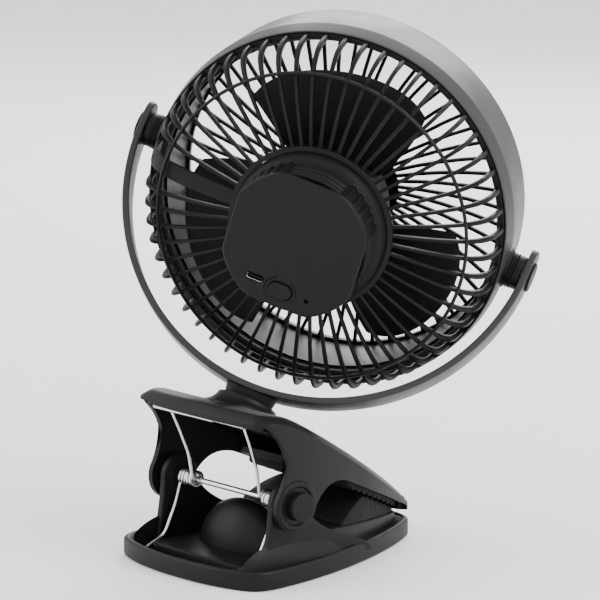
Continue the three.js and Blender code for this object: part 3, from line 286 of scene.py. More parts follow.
def shield(size, inset=0.0, side_count=80):
    """Right half of a shield seen from above, from the middle of its bowed rear edge round to the
    middle of its blunt tip: two bends for the rear corner, one long bend for the side, one for the tip."""
    rear, front, half_width, tip, bow, corner = size
    low, high, wide, narrow = rear + inset, front - inset, half_width - inset, tip - inset
    length = high - low
    shoulder = (wide - corner, low + bow)
    start = (wide, low + bow + 2 * corner)
    end = (narrow, high - 0.04 * length)
    legs = [
        bend([(0, low), (0.55 * wide, low), shoulder], 16),
        bend([shoulder, (wide, low + bow + 0.4 * corner), start], 16),
        bend([start, (wide, low + 0.45 * length), ((wide + narrow) / 2, low + 0.78 * length), end],
             side_count),
        bend([end, (0.85 * narrow, high), (0, high)], 16),
    ]
    return np.concatenate([legs[0]] + [leg[1:] for leg in legs[1:]])


def half_width_of(outline):
    """The outline's half width as a function of y, from its widest rear corner to the tip."""
    side = outline[15:]
    return lambda y: np.interp(y, side[:, 1], side[:, 0])


def strip(width_at, rear, front, inset=0.0, corner=2.5, side_count=60):
    """Right half of the stretch of a shield between two y values, with rounded corners."""
    low, high = rear + inset, front - inset

    def edge(y):
        return width_at(y) - inset

    rear_bend = bend([(edge(low) - corner, low), (edge(low), low), (edge(low + corner), low + corner)], 8)
    front_bend = bend([(edge(high - corner), high - corner), (edge(high), high),
                       (edge(high) - corner, high)], 8)
    middle = np.linspace(low + corner, high - corner, side_count)[1:-1]
    side = np.column_stack([edge(middle), middle])
    return np.concatenate([[(0, low)], rear_bend, side, front_bend, [(0, high)]])


def heights(level, x, y):
    """A level that is a number or a function of y, at every point."""
    return np.full(x.shape, float(level)) if np.isscalar(level) else level(y)


def stack(outline_at, rings, across=16):
    """A closed solid of rings round a mirrored outline, given as (inset, level) from the lower cap to
    the upper one, each level a number or a function of y. Chords from side to side close both ends."""
    loops = []
    for inset, level in rings:
        half = outline_at(inset)
        loop = np.concatenate([half, half[-2:0:-1] * (-1, 1)])
        loops.append(np.column_stack([loop, heights(level, loop[:, 0], loop[:, 1])]))
    surfaces = [(np.array(loops), False, True)]
    for inset, level in (rings[0], rings[-1]):
        half = outline_at(inset)
        x = half[:, :1] * np.linspace(1, -1, across)
        y = np.repeat(half[:, 1:], across, axis=1)
        surfaces.append((np.stack([x, y, heights(level, x, y)], axis=-1), False, False))
    return surfaces


def piece(name, surfaces, body, material, replaces=(), sharp=38.0):
    """One object from grids of points in millimetres: each surface is (grid, rows wrap, columns wrap),
    or a flat loop of points to be filled. Shared points are welded and every face turned outwards."""
    points, faces = [], []
    start = 0
    flat = []
    for surface in surfaces:
        if not isinstance(surface, tuple):
            points.append(surface)
            flat.append(list(range(start, start + len(surface))))
            start += len(surface)
            continue
        grid, wrap_rows, wrap_columns = surface
        rows, columns = grid.shape[:2]
        row = np.arange(rows if wrap_rows else rows - 1)[:, None]
        column = np.arange(columns if wrap_columns else columns - 1)[None, :]
        next_row, next_column = (row + 1) % rows, (column + 1) % columns
        corners = [row * columns + column, row * columns + next_column,
                   next_row * columns + next_column, next_row * columns + column]
        faces.append(np.stack(corners, axis=-1).reshape(-1, 4) + start)
        points.append(grid.reshape(-1, 3))
        start += rows * columns
    mesh = bpy.data.meshes.new(name)
    quads = np.concatenate(faces).tolist() if faces else []
    mesh.from_pydata((np.concatenate(points) * 0.001).tolist(), [], quads + flat)
    shape = bmesh.new()
    shape.from_mesh(mesh)
    bmesh.ops.remove_doubles(shape, verts=shape.verts, dist=2e-6)
    bmesh.ops.dissolve_degenerate(shape, edges=shape.edges, dist=1e-6)
    bmesh.ops.recalc_face_normals(shape, faces=shape.faces)
    shape.to_mesh(mesh)
    shape.free()
    mesh.shade_smooth()
    mesh.set_sharp_from_angle(angle=math.radians(sharp))
    mesh.materials.append(material)
    made = bpy.data.objects.new(name, mesh)
    bpy.context.scene.collection.objects.link(made)
    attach(made, body)
    if replaces:
        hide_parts(*replaces)
    return made


def plate(outline, near, far, edge=0.8, steps=4):
    """A flat plate with rounded rims: an outline in Y and Z carried along X from `near` to `far`."""
    before, after = np.roll(outline, 1, axis=0), np.roll(outline, -1, axis=0)
    run = after - before
    run /= np.linalg.norm(run, axis=1)[:, None]
    area = np.sum(outline[:, 0] * after[:, 1] - outline[:, 1] * after[:, 0])
    inward = np.column_stack([-run[:, 1], run[:, 0]]) * np.sign(area)
    turn = np.linspace(0, math.pi / 2, steps + 1)
    insets = edge * (1 - np.sin(turn))
    offsets = edge * (1 - np.cos(turn))
    rows = []
    for inset, x in list(zip(insets, near + offsets)) + list(zip(insets, far - offsets))[::-1]:
        loop = outline + inward * inset
        rows.append(np.column_stack([np.full(len(loop), x), loop]))
    rows = np.array(rows)
    return [(rows, False, True), rows[0], rows[-1]]


foot_size = (-75.0, 75.0, 55.0, 21.0, 8.0, 8.0)
foot_width = half_width_of(shield(foot_size))
wall_top = 10.0
tray_floor = 4.8
plate_recess = 2.3
foot_rings = [
    (3.5, plate_recess), (3.5, 0.4), (3.1, 0.0), (1.2, 0.0), (0.5, 0.25), (0.12, 0.8), (0.0, 1.6),
    (0.0, wall_top - 1.9), (0.12, wall_top - 1.1), (0.5, wall_top - 0.4), (1.1, wall_top),
    (1.7, wall_top), (2.2, wall_top - 0.3), (2.5, wall_top - 0.9), (2.6, tray_floor),
]
hinge = (-35.0, 39.0)
deck_rear, deck_front = -8.0, 64.0


def deck_top(y):
    """The deck falls evenly from its rear edge to its front edge."""
    return np.interp(y, (deck_rear, 62.0), (21.0, 14.28))


def lowered(level, drop):
    """A level moved down."""
    return lambda y: level(y) - drop


def deck_width(y):
    """The deck stays a little inside the wall of the foot."""
    return foot_width(y) - 7.0


deck_rings = [(0.0, tray_floor), (0.0, lowered(deck_top, 1.6)), (0.2, lowered(deck_top, 0.9)),
              (0.7, lowered(deck_top, 0.25)), (1.5, deck_top)]
floor_rings = [(0.0, tray_floor - 1), (0.0, 7.9), (0.3, 8.7), (1.0, 9.0)]
apron_rings = [(0.0, tray_floor - 1), (0.0, 8.6), (0.6, 9.1)]

shoulder_line = bend([
    (-67, 9.4), (-62, 16), (-52, 22), (-32, 23), (-14, 22), (6, 19), (16, 10), (34, 9.2),
], 60)


def shoulder(side):
    """A fillet from the wall of the foot up to the ear: across it the height grows as a power of the
    share, and along it the crest follows the shoulder line. Its underside is flat and its ends close."""
    y, crest = shoulder_line[:, 0], shoulder_line[:, 1]
    outer = foot_width(y) - 1.4
    inner = np.minimum(42.4, foot_width(y) - 8.0)
    share = np.linspace(0, 1, 13)
    x = outer[:, None] + (inner - outer)[:, None] * share
    z = 9.2 + (crest - 9.2)[:, None] * share**1.9
    top = np.stack([x, np.repeat(y[:, None], 13, 1), z], -1)
    under = top[:, ::-1].copy()
    under[..., 2] = tray_floor
    ring = np.concatenate([top, under], axis=1) * (side, 1, 1)
    ends = [np.repeat(ring[k].mean(0)[None, None], ring.shape[1], 1) for k in (0, -1)]
    return (np.concatenate([ends[0], ring, ends[1]]), False, True)


def ear_outline(radius=11.0):
    """The hinge ear from the side: a round head on a stem that widens forwards to the deck."""
    turn = np.linspace(0, math.pi, 40)
    head = np.column_stack([hinge[0] + radius * np.cos(turn), hinge[1] + radius * np.sin(turn)])
    front = bend([(22, 9), (8, 15), (-9, 20), (hinge[0] + radius + 1.5, 29), head[0]], 30)[:-1]
    rear = bend([head[-1], (head[-1][0] - 0.5, 24), (-50, 12), (-52, tray_floor)], 16)[1:]
    return np.concatenate([front, head, rear, [(22, tray_floor)]])


def dome():
    """Upper half of an ellipsoid, from its edge at the tray floor to its pole."""
    rise = np.linspace(0, math.pi / 2, 26)[:, None]
    turn = np.linspace(0, 2 * math.pi, 72, endpoint=False)[None, :]
    x = 30 * np.cos(rise) * np.cos(turn)
    y = -27 + 15 * np.cos(rise) * np.sin(turn)
    z = tray_floor + 27.7 * np.sin(rise) + 0 * turn
    return (np.stack([x, y, z], -1), False, True)


ear_near, ear_far = 39.7, 43.7
foot_parts = stack(lambda inset: shield(foot_size, inset), foot_rings)
foot_parts += stack(lambda inset: strip(deck_width, deck_rear, deck_front, inset), deck_rings)
foot_parts += stack(lambda inset: strip(lambda y: foot_width(y) - 19, -60, -6, inset, 5), floor_rings)
foot_parts += stack(lambda inset: strip(lambda y: foot_width(y) - 2, -7, 71, inset), apron_rings)
foot_parts += [shoulder(1), shoulder(-1), dome()]
foot_parts += plate(ear_outline(), ear_near, ear_far) + plate(ear_outline(), -ear_far, -ear_near)
piece("foot_moulding", foot_parts, "base", black_shell, ["lower_jaw"])

# ---------------------------------------------------------------------------------------------
# Jaw pads: matt black rubber, moulded with cross teeth, glued to the deck and under the jaw.

rubber = moulded("pad_rubber", (0.003, 0.003, 0.003), (0.66, 0.8),
                 grain=900.0, depth=0.00005, wear=0.02, shine=0.2)
pad_rear, pad_front = 10.0, 62.0
ramp_foot, ramp_crest = 6.0, 27.0
tooth_pitch = 5.2
tooth_depth = 1.0


def tooth(y):
    """Depth of the groove at y: a raised cosine cut off flat, once in each pitch."""
    wave = 0.5 - 0.5 * np.cos(2 * math.pi * (y - pad_rear) / tooth_pitch)
    return tooth_depth * np.clip(1.8 * wave - 0.8, 0, 1)


def jaw_mouth(y):
    """Lower edge of the upper jaw's side wall in front of its arch."""
    return np.interp(y, (4.0, 77.0), (45.0, 13.4))


def upper_face(y):
    return jaw_mouth(y) - 3.3


def toothed(y):
    """Face of the upper pad with its grooves."""
    return upper_face(y) + tooth(y)


def lower_face(y):
    """The ramp rises in a gentle wave from a thin lip to the crest, then keeps to the upper pad."""
    share = np.clip((y - ramp_foot) / (ramp_crest - ramp_foot), 0, 1)
    lip = deck_top(ramp_foot) + 1.5
    ramp = lip + (upper_face(ramp_crest) - 0.3 - lip) * (share + 0.12 * np.sin(math.pi * share))
    return np.where(y > ramp_crest, upper_face(y) - 0.3 - tooth(y), ramp)


jaw_size = (-60.0, 77.0, 50.0, 18.0, 2.0, 6.0)
jaw_outline = shield(jaw_size, 0.0, 160)
jaw_width = half_width_of(jaw_outline)
pad_count = 180
lower_pad_rings = [
    (0.0, lowered(deck_top, -0.1)), (0.0, lowered(lower_face, 0.9)), (0.3, lowered(lower_face, 0.25)),
    (0.9, lower_face),
]
upper_pad_rings = [
    (0.9, toothed), (0.3, lowered(toothed, -0.25)), (0.0, lowered(toothed, -0.9)),
    (0.0, lowered(jaw_mouth, -3.0)),
]


def pad_outline(width_at, margin, rear):
    """The outline of a pad at an inset: a stretch of a jaw, `margin` inside its sides."""
    return lambda inset: strip(lambda y: width_at(y) - margin, rear, pad_front, inset, 2, pad_count)


piece("pad_below", stack(pad_outline(foot_width, 8, ramp_foot), lower_pad_rings),
      "base", rubber, ["lower_pad"])
piece("pad_above", stack(pad_outline(jaw_width, 4.3, pad_rear), upper_pad_rings),
      "clamp_handle", rubber, ["upper_pad"])

# ---------------------------------------------------------------------------------------------
# Upper jaw: a black shell 3 mm thick, level over the finger handle and rolled over to the tips,
# with a bevelled strip along its top edges and side walls that end in the round hinge ears.

handle_top = 88.0
crown_bend, crown_roll = -42.0, 9.0
crown_slope = (handle_top - 19.0) / (77.0 - crown_bend)
lip_level = 82.0
jaw_wall = 3.0


def crown(y):
    """Height of the crown: a hyperbola that joins the level handle to the straight slope."""
    past = y - crown_bend
    return handle_top - crown_slope * (past + np.hypot(past, crown_roll)) / 2


def wall_foot():
    """For each outline point, the point of the side silhouette that its wall runs down to, and the
    point that pulls the wall's grid lines through the waist, as (y, z) pairs with a weight."""
    ear = 13.5
    stops = np.radians([158, 330])
    turn = np.linspace(stops[0], stops[1], 60)
    round_ear = np.column_stack([hinge[0] + ear * np.cos(turn), hinge[1] + ear * np.sin(turn)])
    waist = (hinge[0] - 5.5, hinge[1] + 20)
    legs = [
        (-58.0, -47.0, bend([(-58, lip_level), (-48, lip_level - 3),
                             (waist[0] - 1, waist[1] + 10), waist], 30)),
        (-47.0, -39.0, bend([waist, (waist[0] - 4, hinge[1] + 9), round_ear[0]], 30)),
        (-39.0, -8.0, round_ear),
        (-8.0, 8.0, bend([round_ear[-1], (-15.5, 47), (-5, 48), (4, 45)], 30)),
        (8.0, 77.0, bend([(4, 45), (77, jaw_mouth(77))], 40)),
    ]
    y = jaw_outline[:, 1]
    low = np.zeros((len(y), 2))
    for start, end, line in legs:
        here = (y >= start) & (y <= end)
        share = (y[here] - start) / (end - start) * (len(line) - 1)
        low[here] = np.column_stack([np.interp(share, np.arange(len(line)), line[:, k]) for k in (0, 1)])
    pull_y = np.interp(y, (-58, -47, -39, -24, -8, 8, 77), (-58, -41.5, -36.5, -33, -21.5, 6, 77))
    pull_z = np.interp(y, (-58, -47, -39, -24, -8, 8, 77), (82.6, 74, 62, 56, 53, 52, 14))
    return low, np.column_stack([pull_y, pull_z])


def jaw_skin(inset):
    """One skin of the shell as a grid: down each side wall, over the bevelled strip and across by
    chords. Each wall line is a parabola in the side view, held to the outline's width at its own y;
    in the tip and the rear edge the lines run straight down instead."""
    strip_profile = [(0.0, 4.8), (0.1, 4.1), (0.5, 3.5), (3.3, 1.0), (4.0, 0.55), (4.8, 0.2), (6.0, 0.0)]
    low, pull = wall_foot()
    outline = shield(jaw_size, inset, 160)
    share = np.linspace(1, 0, 18)[None, :, None]
    top = np.column_stack([jaw_outline[:, 1], crown(jaw_outline[:, 1]) - strip_profile[0][1]])[:, None]
    lines = share**2 * low[:, None] + 2 * share * (1 - share) * pull[:, None] + (1 - share) ** 2 * top
    straight = np.arange(len(jaw_outline)) < 22
    lines[straight] = (top + share * (np.array([0, lip_level]) - top) * (0, 1))[straight]
    nose = np.arange(len(jaw_outline)) >= len(jaw_outline) - 16
    lines[nose] = (top + share * (np.array([0, jaw_mouth(77.0)]) - top) * (0, 1))[nose]
    wall = np.dstack([jaw_width(lines[..., 0]) - inset, lines])
    own = straight | nose
    wall[own, :, 0] = outline[own, :1]
    wall[own, :, 1] = outline[own, 1:]
    rims = []
    for rim_inset, drop in strip_profile[1:]:
        rim = shield(jaw_size, inset + rim_inset, 160)
        rims.append(np.column_stack([rim, crown(rim[:, 1]) - drop - inset])[:, None])
    wall[..., 2] -= inset * (1 - share[..., 0]) ** 2
    right = np.concatenate([wall] + rims, axis=1)
    inner = right[:, -1]
    span = np.linspace(1, -1, 26)[1:-1]
    chords = np.stack([inner[:, :1] * span] + [np.repeat(inner[:, k:k + 1], 24, 1) for k in (1, 2)], -1)
    return np.concatenate([right, chords, right[:, ::-1] * (-1, 1, 1)], axis=1)


upper_shell = np.concatenate([jaw_skin(0.0), jaw_skin(jaw_wall)[:, ::-1]], axis=1)
piece("upper_jaw_shell", [(upper_shell, False, True)], "clamp_handle", black_shell,
      ["upper_jaw"], 30.0)


def turned(profile, count=96):
    """A profile of (radius, height) points turned round Z."""
    line = np.asarray(profile, float)
    turn = np.linspace(0, 2 * math.pi, count, endpoint=False)
    radius, level = line[:, :1], line[:, 1:]
    return np.stack([radius * np.cos(turn), radius * np.sin(turn), level + 0 * turn], -1)


def soften(points, cut, steps=4):
    """Rounds the inner corners of a line: each becomes a parabola that starts `cut` before it."""
    line = np.asarray(points, float)
    corner, before, after = line[1:-1], line[:-2], line[2:]
    share = np.linspace(0, 1, steps + 1)[None, :, None]

    def towards(end):
        run = end - corner
        length = np.linalg.norm(run, axis=1, keepdims=True)
        return (corner + run * np.minimum(cut / np.maximum(length, 1e-9), 0.48))[:, None]

    curve = (1 - share) ** 2 * towards(before) + share**2 * towards(after)
    curve = curve + 2 * share * (1 - share) * corner[:, None]
    return np.concatenate([line[:1], curve.reshape(-1, 2), line[-1:]])


def along_x(grid, y, z):
    """Lays a piece turned round Z along X instead, round the line through y and z."""
    return np.stack([grid[..., 2], grid[..., 0] + y, grid[..., 1] + z], -1)


def mirrored(grid):
    return grid * (-1, 1, 1)


# Inside the jaw a sloping web closes the nose above the pad, and a raised ring runs round each ear.
web_rings = [(0.0, lowered(jaw_mouth, -0.6)), (0.0, lowered(jaw_mouth, -4.5))]
web = stack(lambda inset: strip(lambda y: jaw_width(y) - 2.5, 6, 75, inset), web_rings)
piece("upper_jaw_web", web, "clamp_handle", black_shell)
ear_ring = along_x(turned(soften([
    (7.9, 48.5), (7.9, 49.7), (9.6, 49.7), (10.1, 50.75), (12.4, 50.75),
    (13.1, 49.6), (13.1, 48.5), (7.9, 48.5),
], 0.5)), *hinge)
for word, ring in (("left", mirrored(ear_ring)), ("right", ear_ring)):
    piece(f"ear_ring_{word}", [(ring, False, True)], "clamp_handle", black_shell)

# ---------------------------------------------------------------------------------------------
# Hinge: a bright steel rod held by two caps pressed into the ears.

steel, steel_tree, steel_coat = shader("drawn_steel")
steel_place = node(steel_tree, "ShaderNodeTexCoord").outputs["Object"]
steel_drawn = node(steel_tree, "ShaderNodeMapping", Vector=steel_place, Scale=(60.0, 2600.0, 2600.0))
steel_lines = node(steel_tree, "ShaderNodeTexNoise", Vector=steel_drawn.outputs["Vector"],
                   Scale=1.0, Detail=3.0)
steel_tone = node(steel_tree, "ShaderNodeMix", set_data_type="RGBA", Factor=steel_lines.outputs["Fac"])
steel_tone.inputs["A"].default_value = (0.56, 0.56, 0.55, 1)
steel_tone.inputs["B"].default_value = (0.82, 0.81, 0.79, 1)
steel_tree.links.new(steel_tone.outputs["Result"], steel_coat.inputs["Base Color"])
steel_coat.inputs["Metallic"].default_value = 1
steel_rough = node(steel_tree, "ShaderNodeMapRange", Value=steel_lines.outputs["Fac"])
steel_rough.inputs["To Min"].default_value = 0.14
steel_rough.inputs["To Max"].default_value = 0.34
steel_tree.links.new(steel_rough.outputs["Result"], steel_coat.inputs["Roughness"])

rod_radius = 1.5
rod_half = 48.0
rod_profile = soften([(0, -rod_half), (rod_radius, -rod_half), (rod_radius, rod_half), (0, rod_half)], 0.5)
rod = along_x(turned(rod_profile, 32), *hinge)
piece("hinge_pin", [(rod, False, True)], "base", steel, ["hinge_rod"])

cap_face = 55.1
cap = along_x(turned(soften([
    (0, 48.9), (7.35, 48.9), (7.35, cap_face - 0.1), (6.2, cap_face), (0, cap_face),
], 0.7)), *hinge)
for word, shape in (("left", mirrored(cap)), ("right", cap)):
    piece(f"pivot_cap_{word}", [(shape, False, True)], "clamp_handle", dark_shell,
          [f"hinge_cap_{word}"])

# ---------------------------------------------------------------------------------------------
# Clamp spring: bright wire wound round the rod in two coils. The outer turns of each coil end in
# a leg on the foot, the inner turns in a leg that pushes the bar under the handle.


def tube(path, radius, up, sides=10):
    """A round wire along a path: circles square to the path, their ends drawn in to a point."""
    run = np.gradient(path, axis=0)
    run /= np.linalg.norm(run, axis=1)[:, None]
    across = np.cross(run, up)
    across /= np.linalg.norm(across, axis=1)[:, None]
    over = np.cross(across, run)
    turn = np.linspace(0, 2 * math.pi, sides, endpoint=False)
    rings = path[:, None] + radius * (
        across[:, None] * np.cos(turn)[None, :, None] + over[:, None] * np.sin(turn)[None, :, None]
    )
    ends = [np.repeat(path[k][None, None], sides, axis=1) for k in (0, -1)]
    return (np.concatenate([ends[0], rings, ends[1]]), False, True)


def rounded_line(points, step=0.8, cut=3.0):
    """Straight runs between points with rounded corners, sampled evenly along the line."""
    line = np.asarray(points, float)
    corner, before, after = line[1:-1], line[:-2], line[2:]
    share = np.linspace(0, 1, 9)[None, :, None]

    def towards(end):
        run = end - corner
        return (corner + run * np.minimum(cut / np.linalg.norm(run, axis=1), 0.45)[:, None])[:, None]

    curve = (1 - share) ** 2 * towards(before) + 2 * share * (1 - share) * corner[:, None]
    curve = curve + share**2 * towards(after)
    fine = np.concatenate([line[:1], curve.reshape(-1, 3), line[-1:]])
    reach = np.concatenate([[0], np.cumsum(np.linalg.norm(np.diff(fine, axis=0), axis=1))])
    spots = np.linspace(0, reach[-1], max(8, int(reach[-1] / step)))
    return np.column_stack([np.interp(spots, reach, fine[:, k]) for k in range(3)])


wire_radius = 0.9
coil_radius = 3.8
coil_pitch = 2.3


def coil(from_x, start_angle, turns, way):
    """A helix round the rod: X grows evenly with the angle, in the direction `way`."""
    turn = np.linspace(0, turns * 2 * math.pi, int(turns * 28))
    angle = start_angle + turn
    return np.column_stack([
        from_x + way * coil_pitch * turn / (2 * math.pi),
        hinge[0] + coil_radius * np.cos(angle), hinge[1] + coil_radius * np.sin(angle),
    ])


leg_low, leg_high = math.radians(-32), math.radians(20)
inner_x, outer_x, middle_x = 26.0, 36.9, 31.5
bar_y, bar_z = -51.9, 78.5
for side, word in ((-1, "left"), (1, "right")):
    turns = coil(middle_x, math.radians(95), (outer_x - middle_x) / coil_pitch, 1)
    end = turns[-1]
    leg = rounded_line([end, (outer_x - 0.6, -42, 25), (36.2, -49.5, 10.5), (36.0, -61.6, 6.0)], 0.8, 4)
    wire = tube(np.concatenate([turns, leg[1:]]) * (side, 1, 1), wire_radius, (1, 0, 0))
    piece(f"clamp_spring_foot_{word}", [wire], "base", steel, [f"spring_lower_{word}"])

handle_wires = []
for side in (-1, 1):
    turns = coil(middle_x - 0.3, math.radians(80), (middle_x - 0.3 - inner_x) / coil_pitch, -1)
    leg = rounded_line([turns[-1], (26.6, -41, 54), (27.6, -46.5, 68), (28.2, bar_y + 0.6, bar_z)], 0.8, 4)
    handle_wires.append(tube(np.concatenate([turns, leg[1:]]) * (side, 1, 1), 0.9 * wire_radius, (1, 0, 0)))
handle_wires.append(tube(rounded_line([(-40, bar_y, bar_z), (6, bar_y, bar_z)], 2.0), 1.45, (0, 0, 1), 14))
thin_end = rounded_line([(0, bar_y, bar_z), (29.0, bar_y, bar_z)], 2.0)
handle_wires.append(tube(thin_end, wire_radius, (0, 0, 1)))
piece("clamp_spring_handle", handle_wires, "clamp_handle", steel, ["spring_upper"])

# ---------------------------------------------------------------------------------------------
# Frames of the turning bodies, from the joints: columns are each body's own X, Y and Z.

joints = {joint["name"]: joint for joint in frame["joints"]}


def unit(vector):
    return np.array(vector, float) / np.linalg.norm(vector)


swivel_base = np.array(joints["swivel"]["pos_m"]) * 1000
head_centre = np.array(joints["tilt"]["pos_m"]) * 1000
swivel_axis = unit(joints["swivel"]["axis"])
tilt_axis = unit(joints["tilt"]["axis"])
blow_axis = unit(joints["fan_spin"]["axis"])
yoke_axes = np.array([tilt_axis, np.cross(swivel_axis, tilt_axis), swivel_axis])
head_axes = np.array([tilt_axis, blow_axis, np.cross(tilt_axis, blow_axis)])


def on_swivel(grid):
    """From millimetres above the crown along the swivel axis to the object's own frame."""
    return grid @ yoke_axes + swivel_base


def in_yoke(grid):
    """From the yoke's frame, centred on the tilt pivots, to the object's own frame."""
    return grid @ yoke_axes + head_centre


def in_head(grid):
    """From the head's frame, with the blown air along its Y, to the object's own frame."""
    return grid @ head_axes + head_centre


def round_blow_axis(profile, count=160):
    """Turns a profile of (radius, y) points round the fan axis."""
    grid = turned(profile, count)
    return in_head(np.stack([grid[..., 0], grid[..., 2], grid[..., 1]], -1))


# ---------------------------------------------------------------------------------------------
# Swivel: a neck moulded on the crown carries the saddle, in which the yoke's screw turns.


def neck():
    """Rows from a rim that lies on the crown up to the round collar: each meridian is a bend that
    leaves the crown nearly level and ends along the axis."""
    turn = np.linspace(0, 2 * math.pi, 120, endpoint=False)
    rim = np.column_stack([23.0 * np.cos(turn), 23.0 * np.sin(turn), 0 * turn])
    on_crown = on_swivel(rim)
    on_crown[:, 2] = crown(on_crown[:, 1]) - 0.3

    def circle(radius, level):
        return on_swivel(np.column_stack([radius * np.cos(turn), radius * np.sin(turn), level + 0 * turn]))

    waist, collar = circle(16.6, 0.4), circle(15.9, 4.8)
    share = np.linspace(0, 1, 22)[:, None, None]
    rows = (1 - share) ** 2 * on_crown + 2 * share * (1 - share) * waist + share**2 * collar
    top = [circle(15.4, 5.0)[None], circle(0, 5.0)[None]]
    under = [on_swivel(rim * (share_in, share_in, 1) - (0, 0, 2.6))[None] for share_in in (0.0, 0.9)]
    return (np.concatenate(under + [rows] + top), False, True)


piece("swivel_neck", [neck()], "clamp_handle", black_shell)

yoke_radius, yoke_inner, yoke_width = 109.0, 105.0, 19.0
yoke_height = np.linalg.norm(head_centre - swivel_base)


def saddle():
    """A rounded block: a stadium outline from its foot up to the hollow that follows the yoke."""
    half, end = 4.5, 8.5
    turn = np.linspace(-math.pi / 2, math.pi / 2, 24)
    right = np.column_stack([half + end * np.cos(turn), end * np.sin(turn)])
    loop = np.concatenate([right, -right])
    rows = []
    for grow, level in ((-1.0, 5.3), (-0.3, 5.5), (0.0, 6.1), (0.3, 8.0), (0.9, 99.0)):
        ring = loop * (1 + grow / 12)
        top = yoke_height - np.sqrt((yoke_radius + 0.25) ** 2 - ring[:, 0] ** 2)
        rows.append(np.column_stack([ring, np.minimum(level, top)]))
    rows = np.array(rows)
    centre = [np.repeat(rows[k].mean(0)[None, None], len(loop), 1) for k in (0, -1)]
    return (on_swivel(np.concatenate([centre[0], rows, centre[1]])), False, True)


piece("yoke_saddle", [saddle()], "yoke_body", dark_shell, ["swivel_saddle"])

# ---------------------------------------------------------------------------------------------
# Yoke: a half ring of flat grey bar, 19 by 4 mm, with soft edges and rounded ends past the pivots.


def yoke_bar():
    """A rounded section carried down one arm, round the half ring and up the other arm.
    Past the pivots the width follows a half circle, which rounds the ends off."""
    reach = 4.5
    end = yoke_width / 2
    middle = (yoke_radius + yoke_inner) / 2
    finish = end * np.sin(np.linspace(math.pi / 2, 0, 14))
    turn = np.linspace(math.pi, 2 * math.pi, 181)
    ring = np.column_stack([middle * np.cos(turn), 0 * turn, middle * np.sin(turn)])
    rise = reach + finish
    left = np.column_stack([np.full(14, -middle), np.zeros(14), rise])
    path = np.concatenate([left, ring, left[::-1] * (-1, 1, 1)])
    sideways = np.repeat([[1.0, 0, 0]], 14, 0)
    outward = np.concatenate([-sideways, ring / middle, sideways])
    share = np.sqrt(np.clip(1 - (finish / end) ** 2, 0, 1))
    wide = np.concatenate([share, np.ones(181), share[::-1]])
    depth = (yoke_radius - yoke_inner) / 2
    quarter = soften([(-end, 0), (-end, depth - 0.25), (0, depth), (end, depth - 0.25), (end, 0)], 1.1, 5)
    section = np.concatenate([quarter, quarter[-2:0:-1] * (1, -1)])
    grid = path[:, None] + outward[:, None] * section[None, :, 1:] * np.minimum(wide * 2.2, 1)[:, None, None]
    grid[..., 1] += section[None, :, 0] * wide[:, None]
    return (in_yoke(grid), False, True)


piece("yoke_bar", [yoke_bar()], "yoke_body", grey_shell, ["yoke"])

# ---------------------------------------------------------------------------------------------
# Tilt pivots: a dark friction spacer between ring and yoke, and a shallow cap over each screw.

boss_face = 100.4
spacer = turned(soften([
    (2.3, boss_face + 0.3), (8.9, boss_face + 0.3), (8.9, 104.3), (2.3, 104.3), (2.3, boss_face + 0.3),
], 0.3, 3))
tilt_cap = turned(soften([
    (0, 108.5), (7.7, 108.5), (7.7, 110.15), (6.3, 110.2), (5.9, 109.95), (0, 109.95),
], 0.5))
boss = turned(np.concatenate([
    [(0, 93)], bend([(13.0, 95.0), (10.2, 96.0), (9.4, 97.4)], 10),
    soften([
        (9.4, 97.4), (8.7, 97.6), (8.7, 98.0), (9.3, 98.2), (9.3, 98.8), (8.7, 99.0), (8.7, 99.4),
        (9.2, 99.6), (9.2, boss_face), (0, boss_face),
    ], 0.15, 2),
]))
for side, word in ((-1, "left"), (1, "right")):
    way = (side, 1, 1)
    piece(f"friction_spacer_{word}", [(in_head(along_x(spacer, 0, 0) * way), False, True)], "head",
          dark_shell, [f"tilt_spacer_{word}"])
    piece(f"ring_boss_{word}", [(in_head(along_x(boss, 0, 0) * way), False, True)], "head",
          dark_shell)
    piece(f"pivot_plug_{word}", [(in_yoke(along_x(tilt_cap, 0, 0) * way), False, True)], "yoke_body",
          dark_shell, [f"tilt_cap_{word}"])

# ---------------------------------------------------------------------------------------------
# Head ring: a deep grey moulding, a band with a crease near its rear edge and a rolled front lip.

ring_profile = soften([
    (89.5, 8.0), (89.5, -11.3), (94.5, -11.3), (94.5, -15.5), (95.4, -15.5), (96.85, -5.0),
    (94.4, 27.5), (92.6, 29.9), (90.2, 29.9), (89.5, 28.6), (89.5, 8.0),
], 0.7, 5)
ring_parts = [(round_blow_axis(ring_profile, 220), False, True)]
piece("ring_band", ring_parts, "head", grey_shell, ["head_ring"])

# ---------------------------------------------------------------------------------------------
# Rear guard: black radial ribs, flat over the back and rolled down over a shoulder to the ring,
# tied by a thin hoop, with one wide spoke by the left pivot that carries the motor lead.

rib_count = 56
guard_back = 42.0
rib_line = bend([
    (41.5, -guard_back), (62, -guard_back - 0.2), (84.0, -guard_back + 0.2), (93.5, -guard_back + 4.0),
    (92.2, -guard_back + 17.0), (92.9, -13.5),
], 40)


